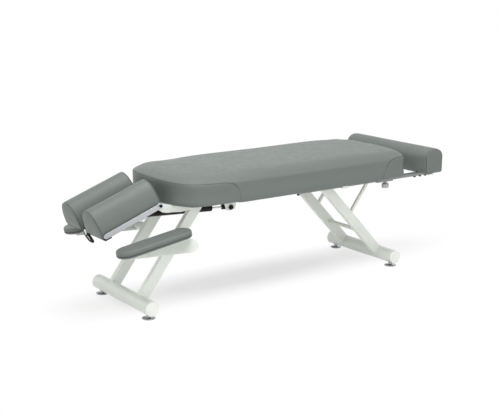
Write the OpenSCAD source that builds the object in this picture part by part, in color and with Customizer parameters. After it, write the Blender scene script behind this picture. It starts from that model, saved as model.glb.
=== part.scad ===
// Chiropractic table: leaning tube base, padded top with a face rest of two rolls,
// two drop-side armrests and a sliding ankle bolster.
// X runs from the head end to the foot end, Y across, Z up from the floor.
// Stations along X are measured from the axis of the head foot tube.

/* [Base frame] */
// Distance between the axes of the two foot tubes
wheelbase = 1300; // [1200:10:1400]
// Outer diameter of a foot tube
foot_tube_d = 60.5; // [54:0.5:66]
// Wall of a foot tube
foot_tube_wall = 2.8; // [2:0.1:4]
// Length of a foot tube without its end caps
foot_tube_l = 457; // [440:1:500]
// Height of the foot tubes above the floor
foot_clear = 17.2; // [15:0.2:22]
// Distance of a levelling foot from the end of its tube
foot_in = 30.5; // [28:0.5:40]
// Height of the underside of the padded top above the floor
top_base_h = 434; // [400:2:470]
// Depth of a leg, across its length in the side view
leg_d = 45; // [38:1:50]
// Width of a leg across the table
leg_w = 25; // [20:1:30]
// Wall of the legs and the top rails
tube_wall = 2.5; // [1.5:0.1:4]
// Distance between the middles of a left and a right leg
leg_gauge = 234.4; // [200:0.4:260]
// Lean of the head legs, from the floor
head_leg_lean = 52.7; // [50:0.1:58]
// Lean of the rear legs, from the floor
rear_leg_lean = 46.6; // [44:0.1:52]
// Height of the side rails under the top
rail_h = 30; // [25:1:32]

/* [Padded top] */
// Width of the padded top
pad_w = 520; // [500:2:560]
// Station where the straight sides of the top start, at the head end
pad_head_x = 306; // [290:1:320]
// Station where the straight sides of the top end, at the foot end
pad_foot_x = 1289; // [1270:1:1300]
// Reach of the rounded head end beyond the straight sides
pad_head_reach = 182; // [150:1:190]
// Reach of the rounded foot end beyond the straight sides
pad_foot_reach = 84; // [75:1:95]
// Height of the padded top at its long edges
pad_h = 108; // [90:1:115]
// Crown of the top over its long edges
pad_crown = 5; // [2:0.5:8]
// Rounding of the long top edges
pad_edge_r = 34; // [28:1:45]
// Thickness of the plywood board under the padding
board_t = 12; // [9:0.5:18]

/* [Face rest] */
// Length of a face roll
roll_l = 281; // [260:1:300]
// Width of a face roll
roll_w = 136; // [120:1:142]
// Height of a face roll over its board
roll_h = 110.5; // [95:0.5:118]
// Height of the straight side of a face roll
roll_side_h = 17.5; // [10:0.5:30]
// Gap between the two face rolls
face_gap = 46; // [40:1:60]
// Tilt of the face rest below level, as it stands
head_tilt = 20; // [12:1:26]
// Height of a side bar of the face rest
bar_h = 21.3; // [18:0.1:26]
// Thickness of a side bar
bar_t = 5; // [4:0.5:6]
// Diameter of the hinge bolts
hinge_bolt_d = 8; // [6:0.5:12]

/* [Gas spring] */
// Outer diameter of the gas spring's cylinder
spring_d = 28; // [24:0.5:30]
// Length of the cylinder behind its front pin
spring_l = 420; // [400:1:430]
// Diameter of the piston rod
rod_d = 8; // [7:0.5:10]

/* [Armrests] */
// Length of an armrest pad
arm_pad_l = 339; // [300:1:350]
// Width of an armrest pad
arm_pad_w = 96; // [80:1:100]
// Thickness of an armrest pad
arm_pad_h = 27; // [22:0.5:32]
// Tilt of the armrest, head end lower
arm_tilt = 8.6; // [5:0.2:12]
// Distance of the armrest pads from the middle plane
arm_y = 230; // [228:1:240]

/* [Ankle bolster] */
// Length of the bolster across the table
bolster_l = 564; // [540:2:600]
// Depth of the bolster along the table
bolster_w = 103; // [90:1:115]
// Height of the bolster
bolster_h = 110; // [95:1:120]
// Height of the bolster's straight sides
bolster_side_h = 70; // [55:1:80]
// Station of the bolster's face that looks at the top
bolster_x = 1430; // [1425:1:1445]
// Width of a slide rail
slide_w = 20; // [16:1:24]
// Height of a slide rail
slide_h = 15; // [12:0.5:15]
// Distance of the slide rails from the middle plane
slide_y = 217; // [205:1:222]
// Diameter of a clamp knob
knob_d = 33; // [28:1:40]

/* [Hidden] */

$fn = 48;
// Extra length of every cut, so that it passes its face
overrun = 1;
// Radial clearance of a pin or spindle in its bore
run_fit = 0.05;
// Clearance of soft parts and shoulders from their seats
seat_gap = 0.3;
left = 1;
right = -1;

paint = [0.89, 0.90, 0.88];
vinyl = [0.53, 0.56, 0.53];
silver = [0.76, 0.77, 0.79];
black = [0.08, 0.08, 0.08];
steel = [0.62, 0.63, 0.65];
birch = [0.80, 0.68, 0.50];
plastic = [0.93, 0.93, 0.91];

// Foot tubes and levelling feet
foot_tube_r = foot_tube_d / 2;
foot_tube_z = foot_clear + foot_tube_r;
foot_y = foot_tube_l / 2 - foot_in;
cap_rim_t = 4;
cap_plug_l = 14;
cap_dome_share = 0.35;
foot_stem_r = 5;
foot_stem_in = 18;
foot_stem_top = foot_clear + foot_stem_in;
foot_disc_r = 27.5;
foot_disc_t = 6;
foot_pad_t = 3.5;
foot_neck_r = 9;
nut_af = 17;
nut_t = 5;

// Legs
leg_y = leg_gauge / 2;
leg_foot_in = 4;
rail_z = top_base_h - rail_h;
leg_rise = rail_z - foot_tube_z;
head_leg_top_x = leg_foot_in + leg_rise / tan(head_leg_lean);
rear_leg_top_x = wheelbase - leg_foot_in - leg_rise / tan(rear_leg_lean);
function head_leg_x(z) = leg_foot_in + (z - foot_tube_z) / tan(head_leg_lean);
function rear_leg_x(z) = wheelbase - leg_foot_in - (z - foot_tube_z) / tan(rear_leg_lean);
leg_inner_y = leg_y - leg_w / 2;
leg_outer_y = leg_y + leg_w / 2;
cross_bar_share = 0.3437;
cross_bar_z = foot_tube_z + leg_rise * cross_bar_share;
cross_bar_d = 18;
brace_w = 12;
brace_lean = 53;
brace_drop = 136;
brace_foot_z = rail_z - brace_drop;

// Rails under the top
rail_w = leg_w;
head_rail_x = 186;
head_rail_w = 50;
head_rail_h = 20;
side_rail_x0 = head_rail_x + head_rail_w;
brace_half = brace_w / 2 / sin(brace_lean);
brace_face_x = rear_leg_x(brace_foot_z) + leg_d / 2 / sin(rear_leg_lean);
brace_top_x = brace_face_x + brace_drop / tan(brace_lean);
rail_end = 3.6;
side_rail_x1 = brace_top_x + brace_half + rail_end;
cross_rail_w = 40;
middle_rail_x = 505;
bolt_r = 4;
bolt_head_r = 7;
bolt_head_t = 5;
bolt_grip = 9;
bolt_place_shares = [0.10, 0.37, 0.63, 0.92];

// Padded top, as rings from the board up; a ring's shares are its inset on the
// long sides and at the ends, of the edge rounding, and its heights on the
// sides and at the ends, of the pad's height
pad_ring_shares = [
    [0.10, 0.06, 0.00, 0.00],
    [0.00, 0.00, 0.10, 0.10],
    [0.05, 0.02, 0.42, 0.42],
    [0.00, 0.00, 0.68, 0.70],
    [0.06, 0.02, 0.85, 0.82],
    [0.18, 0.10, 0.93, 0.88],
    [0.46, 0.40, 0.985, 0.93],
    [1.20, 1.10, 1.00, 0.97]
];
pad_crown_ring_shares = [[0.46, 0.80, 0.7], [0.80, 0.92, 0.95]];
pad_end_steps = 12;
pad_side_steps = 10;
pad_head_power = 2.9;
pad_foot_power = 2.3;
pad_half_w = pad_w / 2;
board_inset = 8;
pad_base_z = top_base_h;

// Hinge of the face rest
hinge_x = 82.36;
hinge_rise = 9.12;
hinge_z = top_base_h + hinge_rise;
hinge_u = 9.5;
hinge_v = 11.85;
hinge_r = hinge_bolt_d / 2;
head_half_w = face_gap / 2 + roll_w;
bar_gap = 0.2;
bar_end_u = 267;
washer_t = 1;
ear_gap = 1;
ear_t = 4;
ear_y0 = head_half_w + ear_gap;
ear_y1 = ear_y0 + ear_t;
bar_y0 = ear_y1 + washer_t + bar_gap;
bar_y1 = bar_y0 + bar_t;
ear_r = 19;
ear_nose_r = bar_h / 2;
ear_step_l = 43;
ear_step_x = hinge_x + ear_step_l;
ear_lap = 8;
ear_tail_l = 75;
ear_drop = 30;
ear_tail_drop = 25;
ear_tail_x = head_rail_x + ear_tail_l;
ear_low_z = top_base_h - ear_drop;
ear_tail_z = top_base_h - ear_tail_drop;
bolt_cap_r = 6;
bolt_cap_t = 4;

// Frame of the face rest, in its own plane: u towards the head, v up
function head_x(u, v) = hinge_x - (u - hinge_u) * cos(head_tilt) - (v - hinge_v) * sin(head_tilt);
function head_z(u, v) = hinge_z - (u - hinge_u) * sin(head_tilt) + (v - hinge_v) * cos(head_tilt);
cross_place_shares = [0.0427, 0.3025, 0.8754];
cross_u = [for (share = cross_place_shares) share * roll_l];
cross_w = 30;
cross_t = 6;
face_board_t = 12;
face_board_inset = 5;
lever_plate_w = 15;
lever_plate_t = 3;
lever_plate_up = 9;
lever_plate_drop = 38;
lever_lean = 12;
lever_pin_v = -12;
lever_wire_r = 3;
lever_knuckle_r = 5.5;
lever_top_y = 20;
lever_low_y = 14;
lever_l = 38;
lever_corner_share = 1.06;
lever_pin_x = -cross_u[2] - cross_w - lever_plate_t / 2 - (lever_pin_v + cross_t) * tan(lever_lean);

// Face rolls: section and stations
roll_arch_steps = 16;
roll_station_shares = [0, 0.010, 0.05, 0.20, 0.50, 0.80, 0.95, 0.990, 1];
roll_swell_shares = [0.80, 0.965, 0.985, 0.995, 1, 0.995, 0.985, 0.965, 0.80];
roll_base_in_share = 0.97;
arch_foot_share = 0.35;

// Gas spring
front_pin_u = cross_u[1] + cross_w / 2;
front_pin_v = -22;
rear_pin_x = 520;
rear_pin_drop = 53;
rear_pin_z = rail_z - rear_pin_drop;
spring_pin_r = 5;
front_pin_x = head_x(front_pin_u, front_pin_v);
front_pin_z = head_z(front_pin_u, front_pin_v);
spring_slope = atan2(rear_pin_z - front_pin_z, rear_pin_x - front_pin_x);
spring_span = norm([rear_pin_x - front_pin_x, rear_pin_z - front_pin_z]);
spring_r = spring_d / 2;
spring_wall = 1.5;
spring_mouth_r = 10;
spring_eye_r = 9;
spring_eye_w = 12;
spring_neck_l = 16;
spring_end_t = 4;
rod_r = rod_d / 2;
rod_l = 135;
piston_r = 6;
piston_t = 8;
clevis_t = 4;
clevis_gap = 0.4;
rod_head_w = 24;
rod_head_r = 11;
rod_head_l = 34;
valve_r = 8;
valve_l = 15;
bracket_t = 4;
bracket_top_l = 84;
bracket_foot_l = 44;
bracket_end = 12;
bracket_drop = rear_pin_drop + bracket_end;

// Armrests
arm_axis_drop = 124;
arm_axis_z = rail_z - arm_axis_drop;
arm_axis_x = head_leg_x(arm_axis_z);
arm_pad_x = 16;
arm_pad_rise = 22.5;
arm_pad_z = arm_axis_z + arm_pad_rise;
arm_hub_r = 26;
arm_hub_t = 40;
arm_hub_in = 5;
arm_hub_y0 = arm_y - arm_hub_t / 2 - arm_hub_in;
arm_hub_y1 = arm_hub_y0 + arm_hub_t;
arm_tip_x = -104;
arm_tip_drop = 9;
arm_tip_z = arm_axis_z - arm_tip_drop;
arm_back_x = 156;
arm_plate_t = 3;
arm_plate_inset = 16;
spindle_flange_r = 22;
spindle_flange_t = 6;
spindle_mid_r = 19;
spindle_r = 14;
spindle_cap_t = 5;
arm_ring_shares = [
    [0.40, 0.00],
    [0.08, 0.09],
    [0.00, 0.30],
    [0.00, 0.66],
    [0.14, 0.87],
    [0.60, 0.985]
];
arm_crown_share = 0.45;
arm_edge_r = 14;
arm_end_steps = 10;
function arm_under_z(x) = arm_pad_z - arm_plate_t / cos(arm_tilt) + (x - arm_pad_x) * tan(arm_tilt);

// Bolster and its slide
slide_fit = 0.08;
slide_top_gap = 0.5;
slide_z1 = top_base_h - slide_top_gap;
slide_z0 = slide_z1 - slide_h;
slide_x0 = 726;
slide_end_in = 7;
slide_x1 = bolster_x + bolster_w - slide_end_in;
slide_wall = 2;
slide_plug_t = 8;
sleeve_t = 4;
sleeve_x0 = 1176;
sleeve_l = 94;
sleeve_flange = 12;
guide_x0 = 970;
guide_l = 32;
knob_x = 1235;
knob_h = 20;
knob_neck_r = 9;
knob_neck_h = 10;
knob_stud_r = 4;
knob_flutes = 8;
knob_flute_r = 3;
bolster_lift = 5;
bolster_base_z = top_base_h + bolster_lift;
bolster_board_inset = 5;
bolster_station_shares = [0, 0.006, 0.03, 0.15, 0.50, 0.85, 0.97, 0.994, 1];
bolster_swell_shares = [0.80, 0.965, 0.985, 0.995, 1, 0.995, 0.985, 0.965, 0.80];
bolster_arch_steps = 16;
tie_w = 32;
tie_t = 4;
tie_end = 15;
button_r = 6;
button_t = 7;
button_first = -12;
button_pitch = 34;
button_x = [
    slide_x0 + slide_plug_t,
    for (i = [0 : 2]) bolster_x + button_first + i * button_pitch
];

// Shared shapes

// Moves the model so that the middle of its footprint is over the origin
module set_down() {
    translate([-middle_x, 0, 0]) children();
}

// A profile drawn in X and Z, given its width across the table
module across(width) {
    rotate([90, 0, 0]) linear_extrude(height = width, center = true) children();
}

// The same, from one distance from the middle plane to another, on one side
module on_side(side, y0, y1) {
    translate([0, side * (y0 + y1) / 2, 0]) across(y1 - y0) children();
}

module pin_across(r, width) {
    rotate([90, 0, 0]) cylinder(r = r, h = width, center = true);
}

module pin_on_side(side, r, y0, y1) {
    translate([0, side * (y0 + y1) / 2, 0]) pin_across(r, y1 - y0);
}

// A closed skin over rings of equal length, each end closed round its middle
module skin(rings) {
    n = len(rings[0]);
    m = len(rings);
    low = n * m;
    high = low + 1;
    points = concat([for (ring = rings) each ring], [middle(rings[0]), middle(rings[m - 1])]);
    sides = [
        for (i = [0 : m - 2], j = [0 : n - 1])
            let (k = (j + 1) % n, a = i * n + j, b = i * n + k, c = a + n, d = b + n)
                each [[a, d, b], [a, c, d]]
    ];
    ends = [
        for (j = [0 : n - 1])
            let (k = (j + 1) % n)
                each [[low, j, k], [high, high - 1 - n + k, high - 1 - n + j]]
    ];
    polyhedron(points = points, faces = concat(sides, ends));
}

function middle(ring) = [for (i = [0 : 2]) sum([for (p = ring) p[i]]) / len(ring)];
function sum(v, i = 0) = i < len(v) ? v[i] + sum(v, i + 1) : 0;
function bow(c, power) = sign(c) * pow(abs(c), 2 / power);

// Plan outline of the top, anticlockwise: [x, y, share of the end's form]
function top_outline(half_w, head_reach, foot_reach) = [
    for (i = [0 : pad_end_steps])
        let (a = -90 + 180 * i / pad_end_steps)
            [pad_foot_x + foot_reach * bow(cos(a), pad_foot_power),
             half_w * bow(sin(a), pad_foot_power), pow(max(cos(a), 0), 0.5)],
    for (i = [1 : pad_side_steps - 1])
        [pad_foot_x + (pad_head_x - pad_foot_x) * i / pad_side_steps, half_w, 0],
    for (i = [0 : pad_end_steps])
        let (a = 90 + 180 * i / pad_end_steps)
            [pad_head_x + head_reach * bow(cos(a), pad_head_power),
             half_w * bow(sin(a), pad_head_power), pow(max(-cos(a), 0), 0.5)],
    for (i = [1 : pad_side_steps - 1])
        [pad_head_x + (pad_foot_x - pad_head_x) * i / pad_side_steps, -half_w, 0]
];

function pad_ring(shares) = [
    for (p = top_outline(pad_half_w - shares[0] * pad_edge_r,
                         pad_head_reach - shares[1] * pad_edge_r,
                         pad_foot_reach - shares[1] * pad_edge_r))
        [p[0], p[1], pad_base_z + pad_h * (shares[2] * (1 - p[2]) + shares[3] * p[2])]
];

function pad_crown_ring(shares) = [
    for (p = top_outline(pad_half_w * (1 - shares[0]), pad_head_reach * (1 - shares[1]),
                         pad_foot_reach * (1 - shares[1])))
        [p[0], p[1], pad_base_z + pad_h + pad_crown * shares[2] * (1 - p[2] / 3)]
];

// Plan of the board, flat at one height
function board_ring(inset, z) = [
    for (p = top_outline(pad_half_w - inset, pad_head_reach - inset, pad_foot_reach - inset))
        [p[0], p[1], z]
];

// Arched section in Y and Z, anticlockwise, open side down
function arch(w, h, side_h, steps, base_in) = [
    [base_in * w / 2, 0],
    [w / 2, side_h * arch_foot_share],
    for (i = [0 : steps])
        let (a = 180 * i / steps)
            [w / 2 * cos(a), side_h + (h - side_h) * sin(a)],
    [-w / 2, side_h * arch_foot_share],
    [-base_in * w / 2, 0]
];

// Rings of an arched cushion of length l, from x = 0, with its ends drawn in
function arch_rings(l, w, h, side_h, steps, base_in, stations, swells) = [
    for (i = [0 : len(stations) - 1])
        [for (p = arch(w, h, side_h, steps, base_in))
            [l * stations[i], p[0] * swells[i], max(p[1] - h * (1 - swells[i]) / 2, 0)]]
];

roll_rings = arch_rings(roll_l, roll_w, roll_h, roll_side_h, roll_arch_steps,
                        roll_base_in_share, roll_station_shares, roll_swell_shares);
bolster_rings = arch_rings(bolster_l, bolster_w, bolster_h, bolster_side_h, bolster_arch_steps,
                           roll_base_in_share, bolster_station_shares, bolster_swell_shares);

// Reach of the whole table, which sets the middle of its footprint
head_reach_x = min([for (ring = roll_rings) for (p = ring) head_x(roll_l - p[0], p[2])]);
foot_reach_x = bolster_x + bolster_w;
middle_x = (head_reach_x + foot_reach_x) / 2;

// Base frame

module foot_tube(x) {
    color(paint) set_down() difference() {
        translate([x, 0, foot_tube_z]) pin_across(foot_tube_r, foot_tube_l);
        translate([x, 0, foot_tube_z]) pin_across(foot_tube_r - foot_tube_wall, foot_tube_l + overrun);
        for (side = [left, right])
            translate([x, side * foot_y, 0]) cylinder(r = foot_stem_r + run_fit, h = foot_tube_z);
    }
}

module head_foot_tube() {
    foot_tube(0);
}

module rear_foot_tube() {
    foot_tube(wheelbase);
}

// Turned plug with a thin domed rim, on the end of a foot tube
module foot_tube_cap() {
    plug_r = foot_tube_r - foot_tube_wall - run_fit;
    rotate_extrude() polygon([
        [0, -cap_plug_l], [plug_r, -cap_plug_l], [plug_r, 0], [foot_tube_r, 0],
        [foot_tube_r, cap_rim_t * cap_dome_share], [foot_tube_r - cap_rim_t, cap_rim_t],
        [0, cap_rim_t]
    ]);
}

module foot_tube_caps() {
    color(plastic) set_down()
        for (x = [0, wheelbase], side = [left, right])
            translate([x, side * foot_tube_l / 2, foot_tube_z])
                rotate([-90 * side, 0, 0]) foot_tube_cap();
}

module foot_lock_nuts() {
    color(steel) set_down()
        for (x = [0, wheelbase], side = [left, right])
            translate([x, side * foot_y, foot_clear - nut_t]) difference() {
                cylinder(d = nut_af / cos(30), h = nut_t, $fn = 6);
                translate([0, 0, -overrun])
                    cylinder(r = foot_stem_r + run_fit, h = nut_t + 2 * overrun);
            }
}

// Levelling foot: rubber-soled dished disc, neck and threaded stem
module levelling_foot(x, side) {
    color(steel) set_down() translate([x, side * foot_y, 0]) rotate_extrude() polygon([
        [0, 0], [foot_disc_r - foot_pad_t / 2, 0], [foot_disc_r, foot_pad_t / 2],
        [foot_disc_r, foot_pad_t], [foot_disc_r - foot_pad_t, foot_disc_t],
        [foot_neck_r, foot_disc_t + foot_pad_t / 2],
        [foot_neck_r, foot_clear - nut_t - seat_gap],
        [foot_stem_r, foot_clear - nut_t - seat_gap], [foot_stem_r, foot_stem_top],
        [0, foot_stem_top]
    ]);
}

// Leg of box tube that leans in the side view and is coped round its foot tube
module leaning_leg(side, foot_x, top_x, lean, tube_x) {
    outer = leg_d / 2 / sin(lean);
    inner = (leg_d / 2 - tube_wall) / sin(lean);
    slope = (top_x - foot_x) / leg_rise;
    color(paint) set_down() difference() {
        on_side(side, leg_inner_y, leg_outer_y) polygon([
            [foot_x - outer, foot_tube_z], [foot_x + outer, foot_tube_z],
            [top_x + outer, rail_z], [top_x - outer, rail_z]
        ]);
        on_side(side, leg_inner_y + tube_wall, leg_outer_y - tube_wall) polygon([
            [foot_x - slope * overrun - inner, foot_tube_z - overrun],
            [foot_x - slope * overrun + inner, foot_tube_z - overrun],
            [top_x + slope * overrun + inner, rail_z + overrun],
            [top_x + slope * overrun - inner, rail_z + overrun]
        ]);
        translate([tube_x, 0, foot_tube_z]) pin_across(foot_tube_r, foot_tube_l);
    }
}

module head_leg(side) {
    leaning_leg(side, leg_foot_in, head_leg_top_x, head_leg_lean, 0);
}

module rear_leg(side) {
    leaning_leg(side, wheelbase - leg_foot_in, rear_leg_top_x, rear_leg_lean, wheelbase);
}

module head_leg_left() { head_leg(left); }
module head_leg_right() { head_leg(right); }
module rear_leg_left() { rear_leg(left); }
module rear_leg_right() { rear_leg(right); }

// Round bar that ties the rear legs
module rear_cross_bar() {
    color(paint) set_down() translate([rear_leg_x(cross_bar_z), 0, cross_bar_z])
        pin_across(cross_bar_d / 2, 2 * leg_inner_y);
}

// Thin brace from the upper face of a rear leg to the end of its side rail
module brace(side) {
    foot_x = brace_face_x - leg_d / tan(brace_lean);
    color(paint) set_down() difference() {
        on_side(side, leg_y - brace_w / 2, leg_y + brace_w / 2) polygon([
            [foot_x - brace_half, brace_foot_z - leg_d],
            [foot_x + brace_half, brace_foot_z - leg_d],
            [brace_top_x + brace_half, rail_z], [brace_top_x - brace_half, rail_z]
        ]);
        on_side(side, leg_inner_y, leg_outer_y) polygon([
            [rear_leg_x(foot_tube_z) + leg_d / 2 / sin(rear_leg_lean), foot_tube_z],
            [rear_leg_top_x + leg_d / 2 / sin(rear_leg_lean), rail_z],
            [rear_leg_top_x - leg_d, rail_z], [rear_leg_top_x - leg_d, foot_tube_z]
        ]);
    }
}

module brace_left() { brace(left); }
module brace_right() { brace(right); }

function bolt_x(share) = side_rail_x0 + (side_rail_x1 - side_rail_x0) * share;

// Box-tube rail along the table, drilled for the bolts that hold the board
module side_rail(side) {
    color(paint) set_down() difference() {
        translate([side_rail_x0, side * leg_y - rail_w / 2, rail_z])
            cube([side_rail_x1 - side_rail_x0, rail_w, rail_h]);
        translate([side_rail_x0 - overrun, side * leg_y - rail_w / 2 + tube_wall, rail_z + tube_wall])
            cube([side_rail_x1 - side_rail_x0 - tube_wall + overrun,
                  rail_w - 2 * tube_wall, rail_h - 2 * tube_wall]);
        for (share = bolt_place_shares)
            translate([bolt_x(share), side * leg_y, rail_z - overrun])
                cylinder(r = bolt_r + run_fit, h = rail_h + 2 * overrun);
    }
}

module side_rail_left() { side_rail(left); }
module side_rail_right() { side_rail(right); }

// Box tube across the table, between the side rails or out to the hinge ears
module cross_rail(x, w, h, half_l) {
    color(paint) set_down() difference() {
        translate([x, -half_l, top_base_h - h]) cube([w, 2 * half_l, h]);
        translate([x + tube_wall, -half_l - overrun, top_base_h - h + tube_wall])
            cube([w - 2 * tube_wall, 2 * (half_l + overrun), h - 2 * tube_wall]);
    }
}

module head_cross_rail() { cross_rail(head_rail_x, head_rail_w, head_rail_h, ear_y0 - ear_t); }
module middle_cross_rail() { cross_rail(middle_rail_x, cross_rail_w, rail_h, leg_inner_y); }
module foot_cross_rail() { cross_rail(side_rail_x1 - cross_rail_w, cross_rail_w, rail_h, leg_inner_y); }

module frame_bolts() {
    color(steel) set_down()
        for (side = [left, right], share = bolt_place_shares)
            translate([bolt_x(share), side * leg_y, rail_z]) {
                translate([0, 0, -bolt_head_t]) cylinder(r = bolt_head_r, h = bolt_head_t, $fn = 6);
                cylinder(r = bolt_r, h = rail_h + bolt_grip);
            }
}

// Hinge plate: round nose at the bolt, stepped in to the end of the head cross rail
module hinge_ear(side) {
    color(paint) set_down() difference() {
        union() {
            on_side(side, ear_y0, ear_y1) union() {
                translate([hinge_x, hinge_z]) circle(r = ear_nose_r);
                polygon([
                    [hinge_x - ear_nose_r * cos(30), hinge_z - ear_nose_r * sin(30)],
                    [hinge_x - ear_nose_r / 4, hinge_z - ear_r],
                    [hinge_x + ear_r / 2, ear_low_z + ear_r * 0.6],
                    [hinge_x + ear_r * 1.5, ear_low_z + ear_r / 3],
                    [ear_step_x + ear_lap, ear_low_z + ear_r / 4],
                    [ear_step_x + ear_lap, top_base_h + ear_r / 3],
                    [hinge_x + ear_nose_r * sin(15), hinge_z + ear_nose_r * cos(15)],
                    [hinge_x, hinge_z]
                ]);
            }
            on_side(side, ear_y0 - ear_t, ear_y0) polygon([
                [ear_step_x, ear_low_z + ear_r / 3.4], [head_rail_x - ear_t, ear_low_z],
                [ear_tail_x, ear_tail_z], [ear_tail_x, top_base_h],
                [ear_step_x + ear_lap, top_base_h],
                [ear_step_x, top_base_h + ear_r / 3]
            ]);
        }
        translate([hinge_x, 0, hinge_z])
            pin_on_side(side, hinge_r + run_fit, ear_y0 - overrun, ear_y1 + overrun);
    }
}

module hinge_ear_left() { hinge_ear(left); }
module hinge_ear_right() { hinge_ear(right); }

// Shoulder bolts of the face rest's hinge, each with its washer between ear and bar
module hinge_bolts() {
    color(black) set_down() translate([hinge_x, 0, hinge_z])
        for (side = [left, right]) {
            pin_on_side(side, hinge_r, ear_y0, bar_y1 + bar_gap);
            pin_on_side(side, bolt_cap_r, bar_y1 + bar_gap, bar_y1 + bar_gap + bolt_cap_t);
            pin_on_side(side, bolt_cap_r, ear_y1, ear_y1 + washer_t);
        }
}

// Padded top

module pad_board() {
    color(birch) set_down() difference() {
        translate([0, 0, top_base_h]) linear_extrude(height = board_t)
            polygon([for (p = board_ring(board_inset, 0)) [p[0], p[1]]]);
        for (side = [left, right], share = bolt_place_shares)
            translate([bolt_x(share), side * leg_y, top_base_h - overrun])
                cylinder(r = bolt_r + run_fit, h = bolt_grip + overrun + run_fit);
    }
}

module main_pad() {
    color(vinyl) set_down() skin(concat(
        [board_ring(board_inset - seat_gap, top_base_h + board_t + seat_gap),
         board_ring(board_inset - seat_gap, top_base_h)],
        [for (shares = pad_ring_shares) pad_ring(shares)],
        [for (shares = pad_crown_ring_shares) pad_crown_ring(shares)]
    ));
}

// Gas spring's rear mount

// Channel bracket under the middle cross rail, its cheeks narrowing to the pin
module spring_bracket() {
    x = rear_pin_x;
    half_gap = rod_head_w / 2 + clevis_gap;
    color(paint) set_down() difference() {
        union() {
            for (side = [left, right])
                on_side(side, half_gap, half_gap + bracket_t) polygon([
                    [x - bracket_top_l / 2, rail_z], [x - bracket_foot_l / 2, rail_z - bracket_drop],
                    [x + bracket_foot_l / 2, rail_z - bracket_drop], [x + bracket_top_l / 2, rail_z]
                ]);
            translate([x - bracket_top_l / 2, -half_gap, rail_z - bracket_t])
                cube([bracket_top_l, 2 * half_gap, bracket_t]);
        }
        translate([x, 0, rear_pin_z]) pin_across(spring_pin_r + run_fit, 2 * (half_gap + 2 * bracket_t));
    }
}

module rear_spring_pin() {
    half = rod_head_w / 2 + clevis_gap + bracket_t;
    color(steel) set_down() translate([rear_pin_x, 0, rear_pin_z]) {
        pin_across(spring_pin_r, 2 * half);
        for (side = [left, right])
            pin_on_side(side, spring_pin_r + bracket_t / 2, half, half + bracket_t / 2);
    }
}

// Slide of the bolster: channels under the board

module slide_channel(side, x0, l) {
    half = slide_w / 2 + slide_fit;
    floor_z = slide_z0 - slide_fit;
    color(paint) set_down() translate([x0, side * slide_y, 0]) difference() {
        union() {
            translate([0, -half - sleeve_t, floor_z - sleeve_t])
                cube([l, 2 * (half + sleeve_t), top_base_h - floor_z + sleeve_t]);
            translate([0, -half - sleeve_t - sleeve_flange, top_base_h - sleeve_t])
                cube([l, 2 * (half + sleeve_t + sleeve_flange), sleeve_t]);
        }
        translate([-overrun, -half, floor_z])
            cube([l + 2 * overrun, 2 * half, top_base_h - floor_z + overrun]);
        if (x0 + l > knob_x && x0 < knob_x)
            translate([knob_x - x0, 0, floor_z - sleeve_t - overrun])
                cylinder(r = knob_stud_r + run_fit, h = sleeve_t + 2 * overrun);
    }
}

module slide_guides() {
    for (side = [left, right])
        slide_channel(side, guide_x0, guide_l);
}

module slide_sleeve_left() { slide_channel(left, sleeve_x0, sleeve_l); }
module slide_sleeve_right() { slide_channel(right, sleeve_x0, sleeve_l); }

// Fluted knob whose stud clamps the slide rail from below
module clamp_knob(side) {
    top = slide_z0 - slide_fit - sleeve_t - seat_gap;
    color(steel) set_down() translate([knob_x, side * slide_y, 0]) {
        difference() {
            translate([0, 0, top - knob_neck_h - knob_h]) rotate_extrude() polygon([
                [0, 0], [knob_d / 2 - knob_flute_r, 0], [knob_d / 2, knob_flute_r],
                [knob_d / 2, knob_h - knob_flute_r], [knob_d / 2 - knob_flute_r, knob_h],
                [knob_neck_r, knob_h], [knob_neck_r, knob_h + knob_neck_h],
                [knob_stud_r, knob_h + knob_neck_h],
                [knob_stud_r, slide_z0 - seat_gap - top + knob_neck_h + knob_h],
                [0, slide_z0 - seat_gap - top + knob_neck_h + knob_h]
            ]);
            for (i = [0 : knob_flutes - 1])
                rotate([0, 0, 360 * i / knob_flutes])
                    translate([knob_d / 2 + knob_flute_r / 2, 0, top - knob_neck_h - knob_h - overrun])
                        cylinder(r = knob_flute_r, h = knob_h + 2 * overrun, $fn = 24);
        }
    }
}

module clamp_knob_left() { clamp_knob(left); }
module clamp_knob_right() { clamp_knob(right); }

// Spindle welded to the outer face of a head leg; the armrest turns on it
module armrest_spindle(side) {
    color(paint) set_down() translate([arm_axis_x, 0, arm_axis_z]) {
        pin_on_side(side, spindle_flange_r, leg_outer_y, leg_outer_y + spindle_flange_t);
        pin_on_side(side, spindle_mid_r, leg_outer_y + spindle_flange_t, arm_hub_y0 - seat_gap);
        pin_on_side(side, spindle_r, arm_hub_y0 - seat_gap, arm_hub_y1 - spindle_cap_t - seat_gap);
    }
}

module armrest_spindle_left() { armrest_spindle(left); }
module armrest_spindle_right() { armrest_spindle(right); }

// Face rest

// Puts what is drawn with x = -u and z = v into the tilted plane of the face rest
module head_place() {
    set_down() translate([hinge_x, 0, hinge_z]) rotate([0, -head_tilt, 0])
        translate([hinge_u, 0, -hinge_v]) children();
}

module head_bar(side) {
    color(silver) head_place() difference() {
        on_side(side, bar_y0, bar_y1) union() {
            translate([-hinge_u, hinge_v]) circle(d = bar_h);
            translate([-bar_end_u, hinge_v]) circle(d = bar_h);
            translate([-bar_end_u, hinge_v - bar_h / 2]) square([bar_end_u - hinge_u, bar_h]);
        }
        translate([-hinge_u, 0, hinge_v])
            pin_on_side(side, hinge_r + run_fit, bar_y0 - overrun, bar_y1 + overrun);
    }
}

module head_bar_left() { head_bar(left); }
module head_bar_right() { head_bar(right); }

// Flat bars under the face boards; the first clears the ears, the others tie the side bars
module head_cross_bars() {
    color(paint) head_place()
        for (i = [0 : len(cross_u) - 1])
            let (half = i == 0 ? head_half_w - face_board_inset : bar_y0)
                translate([-cross_u[i] - cross_w, -half, -cross_t])
                    cube([cross_w, 2 * half, cross_t]);
}

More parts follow.
